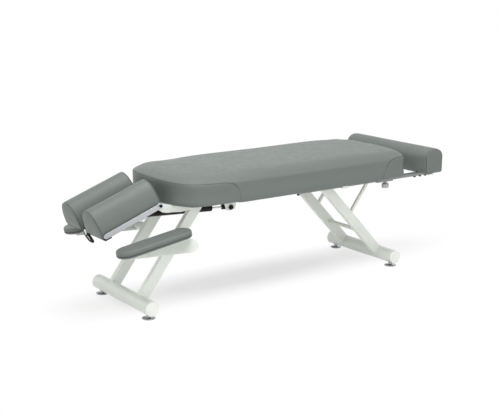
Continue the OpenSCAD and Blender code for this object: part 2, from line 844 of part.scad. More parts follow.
module face_board(side) {
    color(birch) head_place()
        translate([-roll_l + face_board_inset,
                   side * (face_gap + roll_w) / 2 - roll_w / 2 + face_board_inset, 0])
            cube([roll_l - 2 * face_board_inset, roll_w - 2 * face_board_inset, face_board_t]);
}

module face_board_left() { face_board(left); }
module face_board_right() { face_board(right); }

// Arched roll with its board let in from below
module face_roll(side) {
    inset = face_board_inset - seat_gap;
    color(vinyl) head_place() translate([-roll_l, side * (face_gap + roll_w) / 2, 0]) difference() {
        skin(roll_rings);
        translate([inset, -roll_w / 2 + inset, -overrun])
            cube([roll_l - 2 * inset, roll_w - 2 * inset, face_board_t + seat_gap + overrun]);
    }
}

module face_roll_left() { face_roll(left); }
module face_roll_right() { face_roll(right); }

// Two lugs under the middle cross bar, for the spring's front pin
module spring_clevis() {
    color(paint) head_place() difference() {
        union()
            for (side = [left, right])
                on_side(side, spring_eye_w / 2 + clevis_gap, spring_eye_w / 2 + clevis_gap + clevis_t)
                    union() {
                        translate([-front_pin_u, front_pin_v]) circle(r = spring_eye_r);
                        polygon([
                            [-cross_u[1] - cross_w, -cross_t], [-front_pin_u - spring_eye_r, front_pin_v],
                            [-front_pin_u + spring_eye_r, front_pin_v], [-cross_u[1], -cross_t]
                        ]);
                    }
        translate([-front_pin_u, 0, front_pin_v])
            pin_across(spring_pin_r + run_fit, 2 * (spring_eye_w + clevis_t));
    }
}

module front_spring_pin() {
    half = spring_eye_w / 2 + clevis_gap + clevis_t;
    color(steel) head_place() translate([-front_pin_u, 0, front_pin_v]) {
        pin_across(spring_pin_r, 2 * half);
        for (side = [left, right])
            pin_on_side(side, spring_pin_r + clevis_t / 2, half, half + clevis_t / 2);
    }
}

// Bent strip on the front edge of the front cross bar, with the lever's knuckle
module lever_plate() {
    front_u = cross_u[2] + cross_w;
    drop = lever_plate_drop;
    lean = drop * tan(lever_lean);
    color(paint) head_place() difference() {
        union() {
            across(lever_plate_w) polygon([
                [-front_u, lever_plate_up], [-front_u, -cross_t], [-front_u + lean, -cross_t - drop],
                [-front_u + lean - lever_plate_t, -cross_t - drop],
                [-front_u - lever_plate_t, -cross_t], [-front_u - lever_plate_t, lever_plate_up]
            ]);
            translate([lever_pin_x, 0, lever_pin_v]) pin_across(lever_knuckle_r, lever_plate_w);
        }
        translate([lever_pin_x, 0, lever_pin_v]) pin_across(lever_wire_r + run_fit, 2 * lever_plate_w);
    }
}

// Closed loop of wire whose upper side turns in the strip
module release_lever() {
    color(black) head_place() translate([lever_pin_x, 0, lever_pin_v]) rotate([0, -lever_lean, 0]) {
        pin_across(lever_wire_r, 2 * lever_top_y);
        for (side = [left, right]) {
            translate([0, side * lever_top_y, 0]) sphere(r = lever_wire_r * lever_corner_share);
            translate([0, side * lever_low_y, -lever_l]) sphere(r = lever_wire_r * lever_corner_share);
            translate([0, side * lever_top_y, 0])
                rotate([180 - side * atan((lever_top_y - lever_low_y) / lever_l), 0, 0])
                    cylinder(r = lever_wire_r, h = norm([lever_l, lever_top_y - lever_low_y]));
        }
        translate([0, 0, -lever_l]) pin_across(lever_wire_r, 2 * lever_low_y);
    }
}

// Gas spring

// Puts what is drawn along +X from a pin onto the line through both pins
module spring_place(x, z) {
    set_down() translate([x, 0, z]) rotate([0, -spring_slope, 0]) children();
}

module along_x(x0, x1, r) {
    translate([x0, 0, 0]) rotate([0, 90, 0]) cylinder(r = r, h = x1 - x0);
}

module spring_cylinder() {
    color(black) spring_place(front_pin_x, front_pin_z) difference() {
        union() {
            pin_across(spring_eye_r, spring_eye_w);
            along_x(0, spring_neck_l, spring_eye_w / 2);
            along_x(spring_neck_l, spring_l, spring_r);
        }
        pin_across(spring_pin_r + run_fit, spring_eye_w + 2 * overrun);
        along_x(spring_neck_l + spring_end_t, spring_l - spring_end_t, spring_r - spring_wall);
        along_x(spring_neck_l + spring_end_t, spring_l + overrun, spring_mouth_r);
    }
}

// Rod with its piston, the rear head on the pin and the release valve below it
module spring_rod() {
    color(steel) spring_place(rear_pin_x, rear_pin_z) difference() {
        union() {
            pin_across(rod_head_r, rod_head_w);
            along_x(-rod_head_l, 0, rod_head_r - 1.5 * run_fit);
            along_x(-rod_l, -rod_head_l / 2, rod_r);
            along_x(-rod_l - piston_t, -rod_l, piston_r);
            translate([valve_r / 2, 0, -rod_head_r - valve_l / 3]) cylinder(r = valve_r, h = valve_l);
        }
        pin_across(spring_pin_r + run_fit, rod_head_w + 2 * overrun);
    }
}

// Armrests

// Arm with a round hub, deepening under the pad towards the hub
module armrest_arm(side) {
    color(paint) set_down() difference() {
        on_side(side, arm_hub_y0, arm_hub_y1) union() {
            translate([arm_axis_x, arm_axis_z]) circle(r = arm_hub_r);
            polygon([
                [arm_tip_x, arm_tip_z], [arm_axis_x - arm_hub_r * sin(4), arm_axis_z - arm_hub_r * cos(4)],
                [arm_axis_x, arm_axis_z],
                [arm_axis_x + arm_hub_r * sin(40), arm_axis_z + arm_hub_r * cos(40)],
                [arm_back_x, arm_under_z(arm_back_x)], [arm_tip_x, arm_under_z(arm_tip_x)]
            ]);
        }
        translate([arm_axis_x, 0, arm_axis_z])
            pin_on_side(side, spindle_r + run_fit, arm_hub_y0 - overrun, arm_hub_y1 - spindle_cap_t);
    }
}

module armrest_arm_left() { armrest_arm(left); }
module armrest_arm_right() { armrest_arm(right); }

module arm_pad_place(side) {
    set_down() translate([arm_pad_x, side * arm_y, arm_pad_z]) rotate([0, -arm_tilt, 0]) children();
}

// Steel plate with round ends, between arm and pad
module armrest_plate(side) {
    r = arm_pad_w / 2 - arm_plate_inset;
    reach = arm_pad_l / 2 - arm_pad_w / 2;
    color(paint) arm_pad_place(side) translate([0, 0, -arm_plate_t]) {
        translate([-reach, -r, 0]) cube([2 * reach, 2 * r, arm_plate_t]);
        for (end = [-1, 1])
            translate([end * reach, 0, 0]) cylinder(r = r, h = arm_plate_t);
    }
}

module armrest_plate_left() { armrest_plate(left); }
module armrest_plate_right() { armrest_plate(right); }

// Plan of an armrest pad: straight sides between half circles
function arm_outline(inset) = [
    for (end = [0, 1], i = [0 : arm_end_steps])
        let (a = -90 + 180 * end + 180 * i / arm_end_steps, r = arm_pad_w / 2 - inset)
            [(end == 0 ? 1 : -1) * (arm_pad_l - arm_pad_w) / 2 + r * cos(a), r * sin(a)]
];

module armrest_pad(side) {
    color(vinyl) arm_pad_place(side) skin(concat(
        [for (shares = arm_ring_shares)
            [for (p = arm_outline(shares[0] * arm_edge_r)) [p[0], p[1], shares[1] * arm_pad_h]]],
        [[for (p = arm_outline(arm_pad_w / 2 * arm_crown_share)) [p[0], p[1], arm_pad_h]]]
    ));
}

module armrest_pad_left() { armrest_pad(left); }
module armrest_pad_right() { armrest_pad(right); }

// Ankle bolster

module bolster_pad() {
    color(vinyl) set_down()
        translate([bolster_x + bolster_w / 2, -bolster_l / 2, bolster_base_z + seat_gap])
            rotate([0, 0, 90]) skin([for (ring = bolster_rings) [for (p = ring)
                [p[0], p[1], p[2] * (bolster_h - seat_gap) / bolster_h]]]);
}

module bolster_board() {
    color(birch) set_down()
        translate([bolster_x + bolster_board_inset, -bolster_l / 2 + bolster_board_inset, slide_z1])
            cube([bolster_w - 2 * bolster_board_inset, bolster_l - 2 * bolster_board_inset,
                  bolster_base_z - slide_z1]);
}

// Slide rail of box tube, closed at its ends
module slide_rail(side) {
    color(steel) set_down() translate([0, side * slide_y, 0]) difference() {
        translate([slide_x0, -slide_w / 2, slide_z0]) cube([slide_x1 - slide_x0, slide_w, slide_h]);
        translate([slide_x0 + slide_plug_t, -slide_w / 2 + slide_wall, slide_z0 + slide_wall])
            cube([slide_x1 - slide_x0 - slide_plug_t - slide_wall,
                  slide_w - 2 * slide_wall, slide_h - 2 * slide_wall]);
    }
}

module slide_rail_left() { slide_rail(left); }
module slide_rail_right() { slide_rail(right); }

// Flat bar that ties the slide rails under the bolster
module bolster_tie() {
    color(paint) set_down() translate([slide_x1 - tie_w, -slide_y - tie_end, slide_z0 - tie_t])
        cube([tie_w, 2 * (slide_y + tie_end), tie_t]);
}

// Round black buttons under each slide rail: a stop at its hidden end, and three
// between the top and the bolster
module rail_buttons() {
    color(black) set_down()
        for (side = [left, right], x = button_x)
            translate([x, side * slide_y, slide_z0 - button_t]) cylinder(r = button_r, h = button_t);
}

head_foot_tube();
rear_foot_tube();
foot_tube_caps();
foot_lock_nuts();
levelling_foot(0, left);  // levelling_foot_head_left
levelling_foot(0, right);  // levelling_foot_head_right
levelling_foot(wheelbase, left);  // levelling_foot_rear_left
levelling_foot(wheelbase, right);  // levelling_foot_rear_right
head_leg_left();
head_leg_right();
rear_leg_left();
rear_leg_right();
rear_cross_bar();
brace_left();
brace_right();
side_rail_left();
side_rail_right();
head_cross_rail();
middle_cross_rail();
foot_cross_rail();
frame_bolts();
hinge_ear_left();
hinge_ear_right();
hinge_bolts();
pad_board();
main_pad();
spring_bracket();
rear_spring_pin();
slide_guides();
slide_sleeve_left();
slide_sleeve_right();
clamp_knob_left();
clamp_knob_right();
armrest_spindle_left();
armrest_spindle_right();
head_bar_left();
head_bar_right();
head_cross_bars();
face_board_left();
face_board_right();
face_roll_left();
face_roll_right();
spring_clevis();
front_spring_pin();
lever_plate();
release_lever();
spring_cylinder();
spring_rod();
armrest_arm_left();
armrest_arm_right();
armrest_plate_left();
armrest_plate_right();
armrest_pad_left();
armrest_pad_right();
bolster_pad();
bolster_board();
slide_rail_left();
slide_rail_right();
bolster_tie();
rail_buttons();
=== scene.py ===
"""Chiropractic table, dressed: leaning tube base, padded top, face rest of two rolls,
two drop-side armrests and a sliding ankle bolster."""
import logging
import math
from bisect import bisect_left
from dataclasses import dataclass, field
from enum import Enum
from typing import Callable, Sequence

import bmesh
import bpy
from mathutils import Matrix, Vector


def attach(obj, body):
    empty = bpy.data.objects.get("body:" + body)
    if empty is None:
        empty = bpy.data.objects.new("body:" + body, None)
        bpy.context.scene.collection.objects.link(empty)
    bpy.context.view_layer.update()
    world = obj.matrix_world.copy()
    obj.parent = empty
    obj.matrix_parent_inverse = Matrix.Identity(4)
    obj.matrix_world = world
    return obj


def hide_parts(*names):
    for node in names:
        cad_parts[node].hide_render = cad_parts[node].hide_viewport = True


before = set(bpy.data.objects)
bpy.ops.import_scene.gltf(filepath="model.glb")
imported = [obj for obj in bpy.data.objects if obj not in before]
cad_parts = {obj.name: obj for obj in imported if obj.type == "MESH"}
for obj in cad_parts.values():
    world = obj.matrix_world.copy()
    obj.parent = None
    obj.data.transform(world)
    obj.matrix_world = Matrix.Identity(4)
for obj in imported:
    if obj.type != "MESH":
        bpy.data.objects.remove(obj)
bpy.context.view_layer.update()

MM = 0.001
LOG = logging.getLogger("table")

# Places in millimetres, merge distances in metres, angles in radians, smoothing angles in degrees
SIDES = (("left", 1), ("right", -1))
FACE_TILT = math.radians(20)
FOOT_X = {"head": -664.897, "rear": 635.103}
NODE_MERGE = 0.00002
SKIN_MERGE = 0.000001
FLAT = math.radians(0.6)
CREASE = math.radians(32)
DRESSED_SMOOTH = 50
ALL_SMOOTH = 180

Point = tuple[float, float]
Ring = list[Vector]


def linear(colour: tuple[int, int, int]) -> tuple[float, float, float, float]:
    """Scene-linear colour of an sRGB colour in bytes.

    Args:
        colour: Red, green and blue from 0 to 255.

    Returns:
        Red, green, blue and an alpha of 1.
    """
    def channel(byte: int) -> float:
        """Linear value of one byte."""
        share = byte / 255
        return share / 12.92 if share <= 0.04045 else ((share + 0.055) / 1.055) ** 2.4

    return (*(channel(byte) for byte in colour), 1.0)


def between(value: float, table: Sequence[Point]) -> float:
    """Value read off a table of points, straight between them and flat beyond.

    Args:
        value: Where to read.
        table: Pairs of place and value, in rising order of place.

    Returns:
        The table's value there.
    """
    if value <= table[0][0]:
        return table[0][1]
    for (x0, y0), (x1, y1) in zip(table, table[1:]):
        if value <= x1:
            return y0 + (y1 - y0) * (value - x0) / (x1 - x0)
    return table[-1][1]


# Finishes


class Graph:
    """Node tree of one material, round its Principled shader."""

    def __init__(self, name: str) -> None:
        """Starts the material with Object coordinates at hand.

        Args:
            name: Name of the material.
        """
        self.material = bpy.data.materials.new(name)
        self.material.use_nodes = True
        self.tree = self.material.node_tree
        self.shader = self.tree.nodes["Principled BSDF"]
        self.place = self.add("ShaderNodeTexCoord").outputs["Object"]

    def add(self, kind: str, inputs: dict | None = None, **settings: object) -> bpy.types.Node:
        """Adds a node.

        Args:
            kind: Type of the node.
            inputs: Values or sockets for its inputs, by name or number.
            **settings: Its own properties.

        Returns:
            The node.
        """
        node = self.tree.nodes.new(kind)
        for key, value in settings.items():
            setattr(node, key, value)
        for key, value in (inputs or {}).items():
            if isinstance(value, bpy.types.NodeSocket):
                self.tree.links.new(value, node.inputs[key])
            else:
                node.inputs[key].default_value = value
        return node

    def turned(self, stretch: Sequence[float],
               turn: Sequence[float] = (0, 0, 0)) -> bpy.types.NodeSocket:
        """Object coordinates, turned and then scaled along each axis.

        Args:
            stretch: Scale along each axis.
            turn: Turn about each axis, in radians.

        Returns:
            The coordinates.
        """
        source = self.place
        if any(turn):
            source = self.add("ShaderNodeMapping", {"Vector": source, "Rotation": turn}).outputs[0]
        return self.add("ShaderNodeMapping", {"Vector": source, "Scale": stretch}).outputs[0]

    def noise(self, scale: float, detail: float = 3, stretch: Sequence[float] = (1, 1, 1),
              turn: Sequence[float] = (0, 0, 0)) -> bpy.types.NodeSocket:
        """Noise with a number of features per metre."""
        inputs = {"Vector": self.turned(stretch, turn), "Scale": scale, "Detail": detail,
                  "Roughness": 0.55}
        return self.add("ShaderNodeTexNoise", inputs).outputs[0]

    def cells(self, scale: float, feature: str = "DISTANCE_TO_EDGE") -> bpy.types.NodeSocket:
        """Distance inside cells of a number per metre."""
        inputs = {"Vector": self.place, "Scale": scale, "Randomness": 0.9}
        return self.add("ShaderNodeTexVoronoi", inputs, feature=feature).outputs["Distance"]

    def span(self, value: bpy.types.NodeSocket, source: Point, target: Point) -> bpy.types.NodeSocket:
        """A value moved from one range to another, and kept in it."""
        inputs = {"Value": value, "From Min": source[0], "From Max": source[1],
                  "To Min": target[0], "To Max": target[1]}
        return self.add("ShaderNodeMapRange", inputs).outputs[0]

    def maths(self, operation: str, first: object, second: object) -> bpy.types.NodeSocket:
        """Result of one operation on two values."""
        return self.add("ShaderNodeMath", {0: first, 1: second}, operation=operation).outputs[0]

    def mix(self, factor: bpy.types.NodeSocket | float, first: object,
            second: object) -> bpy.types.NodeSocket:
        """Colour between two colours."""
        inputs = {0: factor, 6: first, 7: second}
        return self.add("ShaderNodeMix", inputs, data_type="RGBA").outputs[2]

    def bump(self, height: bpy.types.NodeSocket, strength: float, depth: float) -> bpy.types.NodeSocket:
        """Normal of a surface with a height in metres of depth."""
        inputs = {"Height": height, "Strength": strength, "Distance": depth}
        return self.add("ShaderNodeBump", inputs).outputs[0]

    def colour(self) -> bpy.types.NodeSocket:
        """The socket that gives the shader its colour so far."""
        return self.shader.inputs["Base Color"].links[0].from_socket

    def height(self) -> bpy.types.NodeSocket:
        """Height over the floor."""
        return self.add("ShaderNodeSeparateXYZ", {0: self.place}).outputs["Z"]

    def set(self, **values: object) -> None:
        """Sets the shader's sockets.

        Args:
            **values: Value or socket for each input, with underscores for the blanks in its name.
        """
        for key, value in values.items():
            name = key.replace("_", " ")
            if isinstance(value, bpy.types.NodeSocket):
                self.tree.links.new(value, self.shader.inputs[name])
            else:
                self.shader.inputs[name].default_value = value


@dataclass(frozen=True)
class Finish:
    """Look of the pieces that take one of the record's material slots."""

    slot: str
    colour: tuple[int, int, int]
    roughness: float = 0.4
    metallic: float = 0.0
    wander: float = 0.05
    patch: float = 7.0

    def material(self) -> bpy.types.Material:
        """The finish's material, made once.

        Returns:
            The material.
        """
        name = f"{self.slot}_{type(self).__name__.lower()}"
        found = bpy.data.materials.get(name)
        if found:
            return found
        graph = Graph(name)
        self.tone(graph)
        self.detail(graph)
        return graph.material

    def shade(self, share: float) -> tuple[float, float, float, float]:
        """The colour made lighter or darker by a share."""
        return (*(min(part * (1 + share), 1) for part in linear(self.colour)[:3]), 1.0)

    def tone(self, graph: Graph) -> None:
        """Colour and roughness that wander slowly over the surface.

        Args:
            graph: Node tree of the material.
        """
        slow = graph.span(graph.noise(self.patch, 2), (0.3, 0.7), (0, 1))
        colour = graph.mix(slow, self.shade(-self.wander), self.shade(self.wander))
        rough = graph.span(graph.noise(self.patch * 5, 4), (0.25, 0.75),
                           (self.roughness * 0.85, self.roughness * 1.18))
        graph.set(Base_Color=colour, Roughness=rough, Metallic=self.metallic)

    def detail(self, graph: Graph) -> None:
        """Fine surface of the finish."""


@dataclass(frozen=True)
class Vinyl(Finish):
    """Grained upholstery vinyl, darker and duller in its seams from dirt and painted shade."""

    grain: float = 620.0
    depth: float = 0.00022
    speckle: float = 0.05
    # How far the seams darken, from dirt and painted shade in the seam valley
    seam_dirt_and_shade_span: Point = (0.22, 0.85)
    dirt: float = 0.95
    seam_dirt_and_shade_darkening: float = -0.72

    def detail(self, graph: Graph) -> None:
        """Pebble grain, fine pores, and dirt with painted shade in the seams.

        Args:
            graph: Node tree of the material.
        """
        seam = graph.add("ShaderNodeAttribute", attribute_name="seam").outputs["Fac"]
        speck = graph.span(graph.noise(self.grain * 0.8, 2), (0.35, 0.65), (0, 1))
        mottled = graph.mix(speck, self.shade(-self.speckle), self.shade(self.speckle))
        colour = graph.mix(0.5, graph.colour(), mottled)
        # Dirt and painted shade: the vinyl darkens towards its seams, where shade falls in the valley
        seam_dirt_and_shade = graph.span(seam, self.seam_dirt_and_shade_span, (0, self.dirt))
        colour = graph.mix(seam_dirt_and_shade, colour, self.shade(self.seam_dirt_and_shade_darkening))
        pebble = graph.span(graph.cells(self.grain), (0.0, 0.22), (0, 1))
        pores = graph.noise(self.grain * 2.6, 3)
        height = graph.maths("ADD", pebble, graph.maths("MULTIPLY", pores, 0.5))
        graph.set(Base_Color=colour, Normal=graph.bump(height, 0.32, self.depth),
                  Specular_IOR_Level=0.42, Coat_Weight=0.06, Coat_Roughness=0.35)


@dataclass(frozen=True)
class Paint(Finish):
    """Baked powder paint: a faint orange peel and some dust near the floor."""

    peel: float = 260.0
    depth: float = 0.00025
    dusty: Point = (0.015, 0.075)
    coat: float = 0.25
    gloss: float = 0.5

    def detail(self, graph: Graph) -> None:
        """Orange peel over slow waves, dust low down.

        Args:
            graph: Node tree of the material.
        """
        graph.set(Specular_IOR_Level=self.gloss)
        low = graph.span(graph.height(), self.dusty, (0.5, 0))
        dust = graph.maths("MULTIPLY", low, graph.noise(60, 5))
        waves = graph.maths("MULTIPLY", graph.noise(45, 2), 2)
        height = graph.maths("ADD", graph.noise(self.peel, 2), waves)
        graph.set(Base_Color=graph.mix(dust, graph.colour(), self.shade(-0.3)),
                  Normal=graph.bump(height, 0.22, self.depth),
                  Coat_Weight=self.coat, Coat_Roughness=0.18)


class Lay(Enum):
    """Direction of a metal's brush marks: turn about Y, in radians."""

    LEVEL = 0.0
    FACE_REST = FACE_TILT


@dataclass(frozen=True)
class Brushed(Finish):
    """Bare metal with fine marks along its length."""

    lay: Lay = Lay.LEVEL
    marks: float = 900.0

    def detail(self, graph: Graph) -> None:
        """Long fine scratches in roughness and bump.

        Args:
            graph: Node tree of the material.
        """
        fine = graph.noise(self.marks, 3, (0.012, 1, 1), (0, self.lay.value, 0))
        broad = graph.noise(self.marks / 7, 2, (0.03, 1, 1), (0, self.lay.value, 0))
        rough = graph.span(fine, (0.3, 0.7), (self.roughness * 0.7, self.roughness * 1.35))
        height = graph.maths("ADD", fine, broad)
        graph.set(Roughness=rough, Normal=graph.bump(height, 0.14, 0.00012))


@dataclass(frozen=True)
class Plated(Finish):
    """Plated metal: almost smooth, with small spots."""

    spots: float = 240.0

    def detail(self, graph: Graph) -> None:
        """Faint crystals of the plating.

        Args:
            graph: Node tree of the material.
        """
        spot = graph.cells(self.spots, "F1")
        rough = graph.span(spot, (0, 0.9), (self.roughness * 0.75, self.roughness * 1.4))
        graph.set(Roughness=rough, Normal=graph.bump(graph.noise(self.spots * 2, 3), 0.08, 0.00015))


@dataclass(frozen=True)
class Moulded(Finish):
    """Moulded plastic or rubber with a fine spark-eroded grain."""

    grain: float = 1400.0
    depth: float = 0.00012
    gloss: float = 0.5

    def detail(self, graph: Graph) -> None:
        """Even fine grain.

        Args:
            graph: Node tree of the material.
        """
        graph.set(Specular_IOR_Level=self.gloss)
        dimples = graph.maths("MULTIPLY", graph.cells(self.grain / 3), 0.6)
        height = graph.maths("ADD", graph.noise(self.grain, 2), dimples)
        graph.set(Normal=graph.bump(height, 0.3, self.depth))


@dataclass(frozen=True)
class Plywood(Finish):
    """Birch plywood: long grain on its faces, plies along its edges."""

    ply: float = 0.0014

    def detail(self, graph: Graph) -> None:
        """Grain, plies and small pores.

        Args:
            graph: Node tree of the material.
        """
        band = graph.maths("FRACT", graph.maths("DIVIDE", graph.height(), 2 * self.ply), 0)
        plies = graph.span(band, (0.47, 0.53), (0, 1))
        figure = graph.span(graph.noise(38, 5, (0.09, 1, 1)), (0.35, 0.68), (0, 1))
        face = graph.mix(figure, self.shade(0.10), self.shade(-0.24))
        colour = graph.mix(graph.maths("MULTIPLY", plies, 0.55), face, self.shade(-0.42))
        pores = graph.noise(900, 3, (0.05, 1, 1))
        graph.set(Base_Color=colour, Normal=graph.bump(pores, 0.25, 0.0002))


FRAME_PAINT = Paint("frame_paint", (224, 229, 221), 0.34, wander=0.02)
VINYL = Vinyl("cushion_vinyl", (105, 112, 108), 0.50, wander=0.035)
BIRCH = Plywood("plywood", (150, 134, 110), 0.66)
ALUMINIUM = Brushed("bar_aluminium", (196, 198, 203), 0.30, 1.0, 0.02, lay=Lay.FACE_REST)
CAP_WHITE = Moulded("cap_plastic", (233, 234, 230), 0.42, wander=0.015)
BLACK_PART = Moulded("black_fittings", (15, 15, 16), 0.5, wander=0.1, gloss=0.22)
SPRING_BLACK = Paint("spring_black", (9, 9, 10), 0.42, wander=0.12, coat=0.04, gloss=0.25)
CHROME = Plated("rod_chrome", (206, 208, 212), 0.10, 1.0, 0.02)
RAIL_STEEL = Brushed("rail_steel", (142, 145, 147), 0.34, 1.0, 0.03)
KNOB_GREY = Moulded("knob_grey", (178, 180, 181), 0.40, wander=0.04)
FOOT_STEEL = Plated("foot_steel", (176, 178, 180), 0.22, 1.0, 0.04)
FASTENER = Plated("fastener_steel", (164, 166, 170), 0.30, 1.0, 0.05)
SOLE = Moulded("foot_steel", (186, 191, 184), 0.60, wander=0.05, depth=0.0002)
# Thread, dark for its own colour and darker still as painted shade along the seams
THREAD_WITH_PAINTED_SHADE = Moulded("cushion_vinyl", (66, 71, 68), 0.7, wander=0.05, grain=2400.0)


# Meshes


def piece_of(bm: bmesh.types.BMesh, name: str, body: str, finish: Finish,
             replaced: Sequence[str] = (), smooth: float = 40) -> bpy.types.Object:
    """Turns a bmesh into a piece of the table.

    Args:
        bm: The shape, in metres in the table's frame; it is freed.
        name: Name of the piece.
        body: Body that it moves with.
        finish: Its finish.
        replaced: CAD nodes that it stands for.
        smooth: Greatest angle between faces shaded as one, in degrees.

    Returns:
        The piece.
    """
    mesh = bpy.data.meshes.new(name)
    bm.to_mesh(mesh)
    bm.free()
    mesh.shade_smooth()
    mesh.set_sharp_from_angle(angle=math.radians(smooth))
    piece = bpy.data.objects.new(name, mesh)
    bpy.context.scene.collection.objects.link(piece)
    mesh.materials.append(finish.material())
    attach(piece, body)
    if replaced:
        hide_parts(*replaced)
    LOG.info("%s: %d faces on %s", name, len(mesh.polygons), body)
    return piece


def node_copy(node: str) -> bmesh.types.BMesh:
    """Merged copy of a CAD node's mesh, with its flat faces whole.

    Args:
        node: Name of the node.

    Returns:
        The copy.
    """
    bm = bmesh.new()
    bm.from_mesh(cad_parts[node].data)
    bmesh.ops.remove_doubles(bm, verts=bm.verts, dist=NODE_MERGE)
    bmesh.ops.dissolve_limit(bm, angle_limit=FLAT, use_dissolve_boundaries=False,
                             verts=bm.verts, edges=bm.edges, delimit=set())
    return bm


def round_edges(bm: bmesh.types.BMesh, radius: float, segments: int,
                wanted: Callable[[bmesh.types.BMEdge], bool]) -> None:
    """Rounds the convex edges of a mesh that are wanted.

    Args:
        bm: The mesh.
        radius: Width of the rounding, in metres.
        segments: Faces across the rounding.
        wanted: Says whether an edge is rounded.
    """
    edges = [edge for edge in bm.edges
             if edge.is_manifold and edge.is_convex
             and edge.calc_face_angle() > CREASE and wanted(edge)]
    if edges:
        bmesh.ops.bevel(bm, geom=edges, offset=radius, offset_type="OFFSET", segments=segments,
                        profile=0.5, affect="EDGES", clamp_overlap=True, material=-1)


@dataclass(frozen=True)
class Edges:
    """How a steel piece's edges are broken, in millimetres."""

    corner: float = 0.0
    rim: float = 0.6
    long_edge: float = 70.0
    corner_steps: int = 3
    rim_steps: int = 2


FINE = Edges()
TUBE = Edges(corner=3.0, rim=0.0)
PLATE = Edges(rim=0.9)
CAST = Edges(corner=4.0, rim=1.2, long_edge=30.0)


def dress(node: str, body: str, finish: Finish, edges: Edges = FINE,
          shape: Callable[[bmesh.types.BMesh], None] = lambda bm: None) -> bpy.types.Object:
    """Piece with the shape of a CAD node and rounded edges, in place of the node.

    Args:
        node: Name of the node.
        body: Body that it belongs to.
        finish: Its finish.
        edges: How its edges are broken.
        shape: Works on the shape before its edges are broken.

    Returns:
        The piece.
    """
    bm = node_copy(node)
    shape(bm)
    if edges.corner:
        round_edges(bm, edges.corner * MM, edges.corner_steps,
                    lambda edge: edge.calc_length() > edges.long_edge * MM)
    if edges.rim:
        round_edges(bm, edges.rim * MM, edges.rim_steps,
                    lambda edge: edge.calc_length() > edges.rim * MM)
    piece = piece_of(bm, f"{node}_dressed", body, finish, [node], DRESSED_SMOOTH)
    even = piece.modifiers.new("even_shading", "WEIGHTED_NORMAL")
    even.keep_sharp = True
    return piece


def recolour(piece: bpy.types.Object, finish: Finish,
             wanted: Callable[[bpy.types.MeshPolygon], bool]) -> None:
    """Gives the wanted faces of a piece a second finish.

    Args:
        piece: The piece.
        finish: The second finish.
        wanted: Says whether a face gets it.
    """
    piece.data.materials.append(finish.material())
    for face in piece.data.polygons:
        if wanted(face):
            face.material_index = 1


def dress_board(node: str, body: str, tilt: float = 0.0, margin: float = 24.0) -> None:
    """Plywood board with the cover's vinyl turned in round its edges and stapled below.

    Args:
        node: Name of the board's node.
        body: Body that it belongs to.
        tilt: Turn of the board about Y, in radians.
        margin: Width of the vinyl on the underside, in millimetres.
    """
    down, facing = Matrix.Rotation(tilt, 3, "Y") @ Vector((0, 0, -1)), 0.99
    inner: list[Vector] = []

    def turn_in(bm: bmesh.types.BMesh) -> None:
        """Draws the underside in, which leaves the vinyl's margin round it.

        Args:
            bm: The board.
        """
        bm.normal_update()
        under = [face for face in bm.faces if face.normal.dot(down) > facing]
        bmesh.ops.inset_region(bm, faces=under, thickness=margin * MM,
                               use_even_offset=True, use_boundary=True)
        inner.extend(face.calc_center_median() for face in under)

    board = dress(node, body, BIRCH, PLATE, turn_in)
    near = 0.5 * MM
    recolour(board, VINYL,
             lambda face: not any((face.center - place).length < near for place in inner))


def tube_along(points: Sequence[Vector], radius: float, closed: bool = False,
               swell: Callable[[int], float] = lambda index: 1.0, sides: int = 2) -> bmesh.types.BMesh:
    """Round bar along a path.

    Args:
        points: The path, in metres.
        radius: Radius of the bar.
        closed: Whether the path comes back to its start.
        swell: Share of the radius at each point.
        sides: Resolution round the bar.

    Returns:
        The bar.
    """
    curve = bpy.data.curves.new("path", "CURVE")
    curve.dimensions = "3D"
    curve.bevel_depth = radius
    curve.bevel_resolution = sides
    curve.use_fill_caps = not closed
    spline = curve.splines.new("POLY")
    spline.points.add(len(points) - 1)
    spline.use_cyclic_u = closed
    for index, place in enumerate(points):
        spline.points[index].co = (*place, 1)
        spline.points[index].radius = swell(index)
    holder = bpy.data.objects.new("path", curve)
    mesh = bpy.data.meshes.new_from_object(holder)
    bm = bmesh.new()
    bm.from_mesh(mesh)
    bpy.data.objects.remove(holder)
    bpy.data.curves.remove(curve)
    bpy.data.meshes.remove(mesh)
    bmesh.ops.remove_doubles(bm, verts=bm.verts, dist=SKIN_MERGE)
    bmesh.ops.recalc_face_normals(bm, faces=bm.faces)
    return bm


def lathe(profile: Sequence[Point], centre: Vector, steps: int = 48) -> bmesh.types.BMesh:
    """Turned piece about an upright axis.

    Args:
        profile: Radius and height of its points, in millimetres.
        centre: Where the axis meets the height 0, in metres.
        steps: Faces round it.

    Returns:
        The turned piece.
    """
    bm = bmesh.new()
    verts = [bm.verts.new((radius * MM, 0, height * MM)) for radius, height in profile]
    edges = [bm.edges.new(pair) for pair in zip(verts, verts[1:])]
    bmesh.ops.spin(bm, geom=verts + edges, cent=(0, 0, 0), axis=(0, 0, 1), dvec=(0, 0, 0),
                   angle=math.tau, steps=steps, use_merge=True)
    bmesh.ops.remove_doubles(bm, verts=bm.verts, dist=SKIN_MERGE)
    bmesh.ops.recalc_face_normals(bm, faces=bm.faces)
    bmesh.ops.translate(bm, verts=bm.verts, vec=centre)
    return bm


def joined(parts: Sequence[bmesh.types.BMesh]) -> bmesh.types.BMesh:
    """Several meshes as one.

    Args:
        parts: The meshes; they are freed.

    Returns:
        The whole.
    """
    whole = bmesh.new()
    for part in parts:
        mesh = bpy.data.meshes.new("part")
        part.to_mesh(mesh)
        part.free()
        whole.from_mesh(mesh)
        bpy.data.meshes.remove(mesh)
    return whole


def run_lengths(points: Sequence[Sequence[float]]) -> list[float]:
    """Distance along a path at each of its points.

    Args:
        points: The path.

    Returns:
        The distances, from 0.
    """
    lengths = [0.0]
    for first, second in zip(points, points[1:]):
        lengths.append(lengths[-1] + math.dist(first, second))
    return lengths


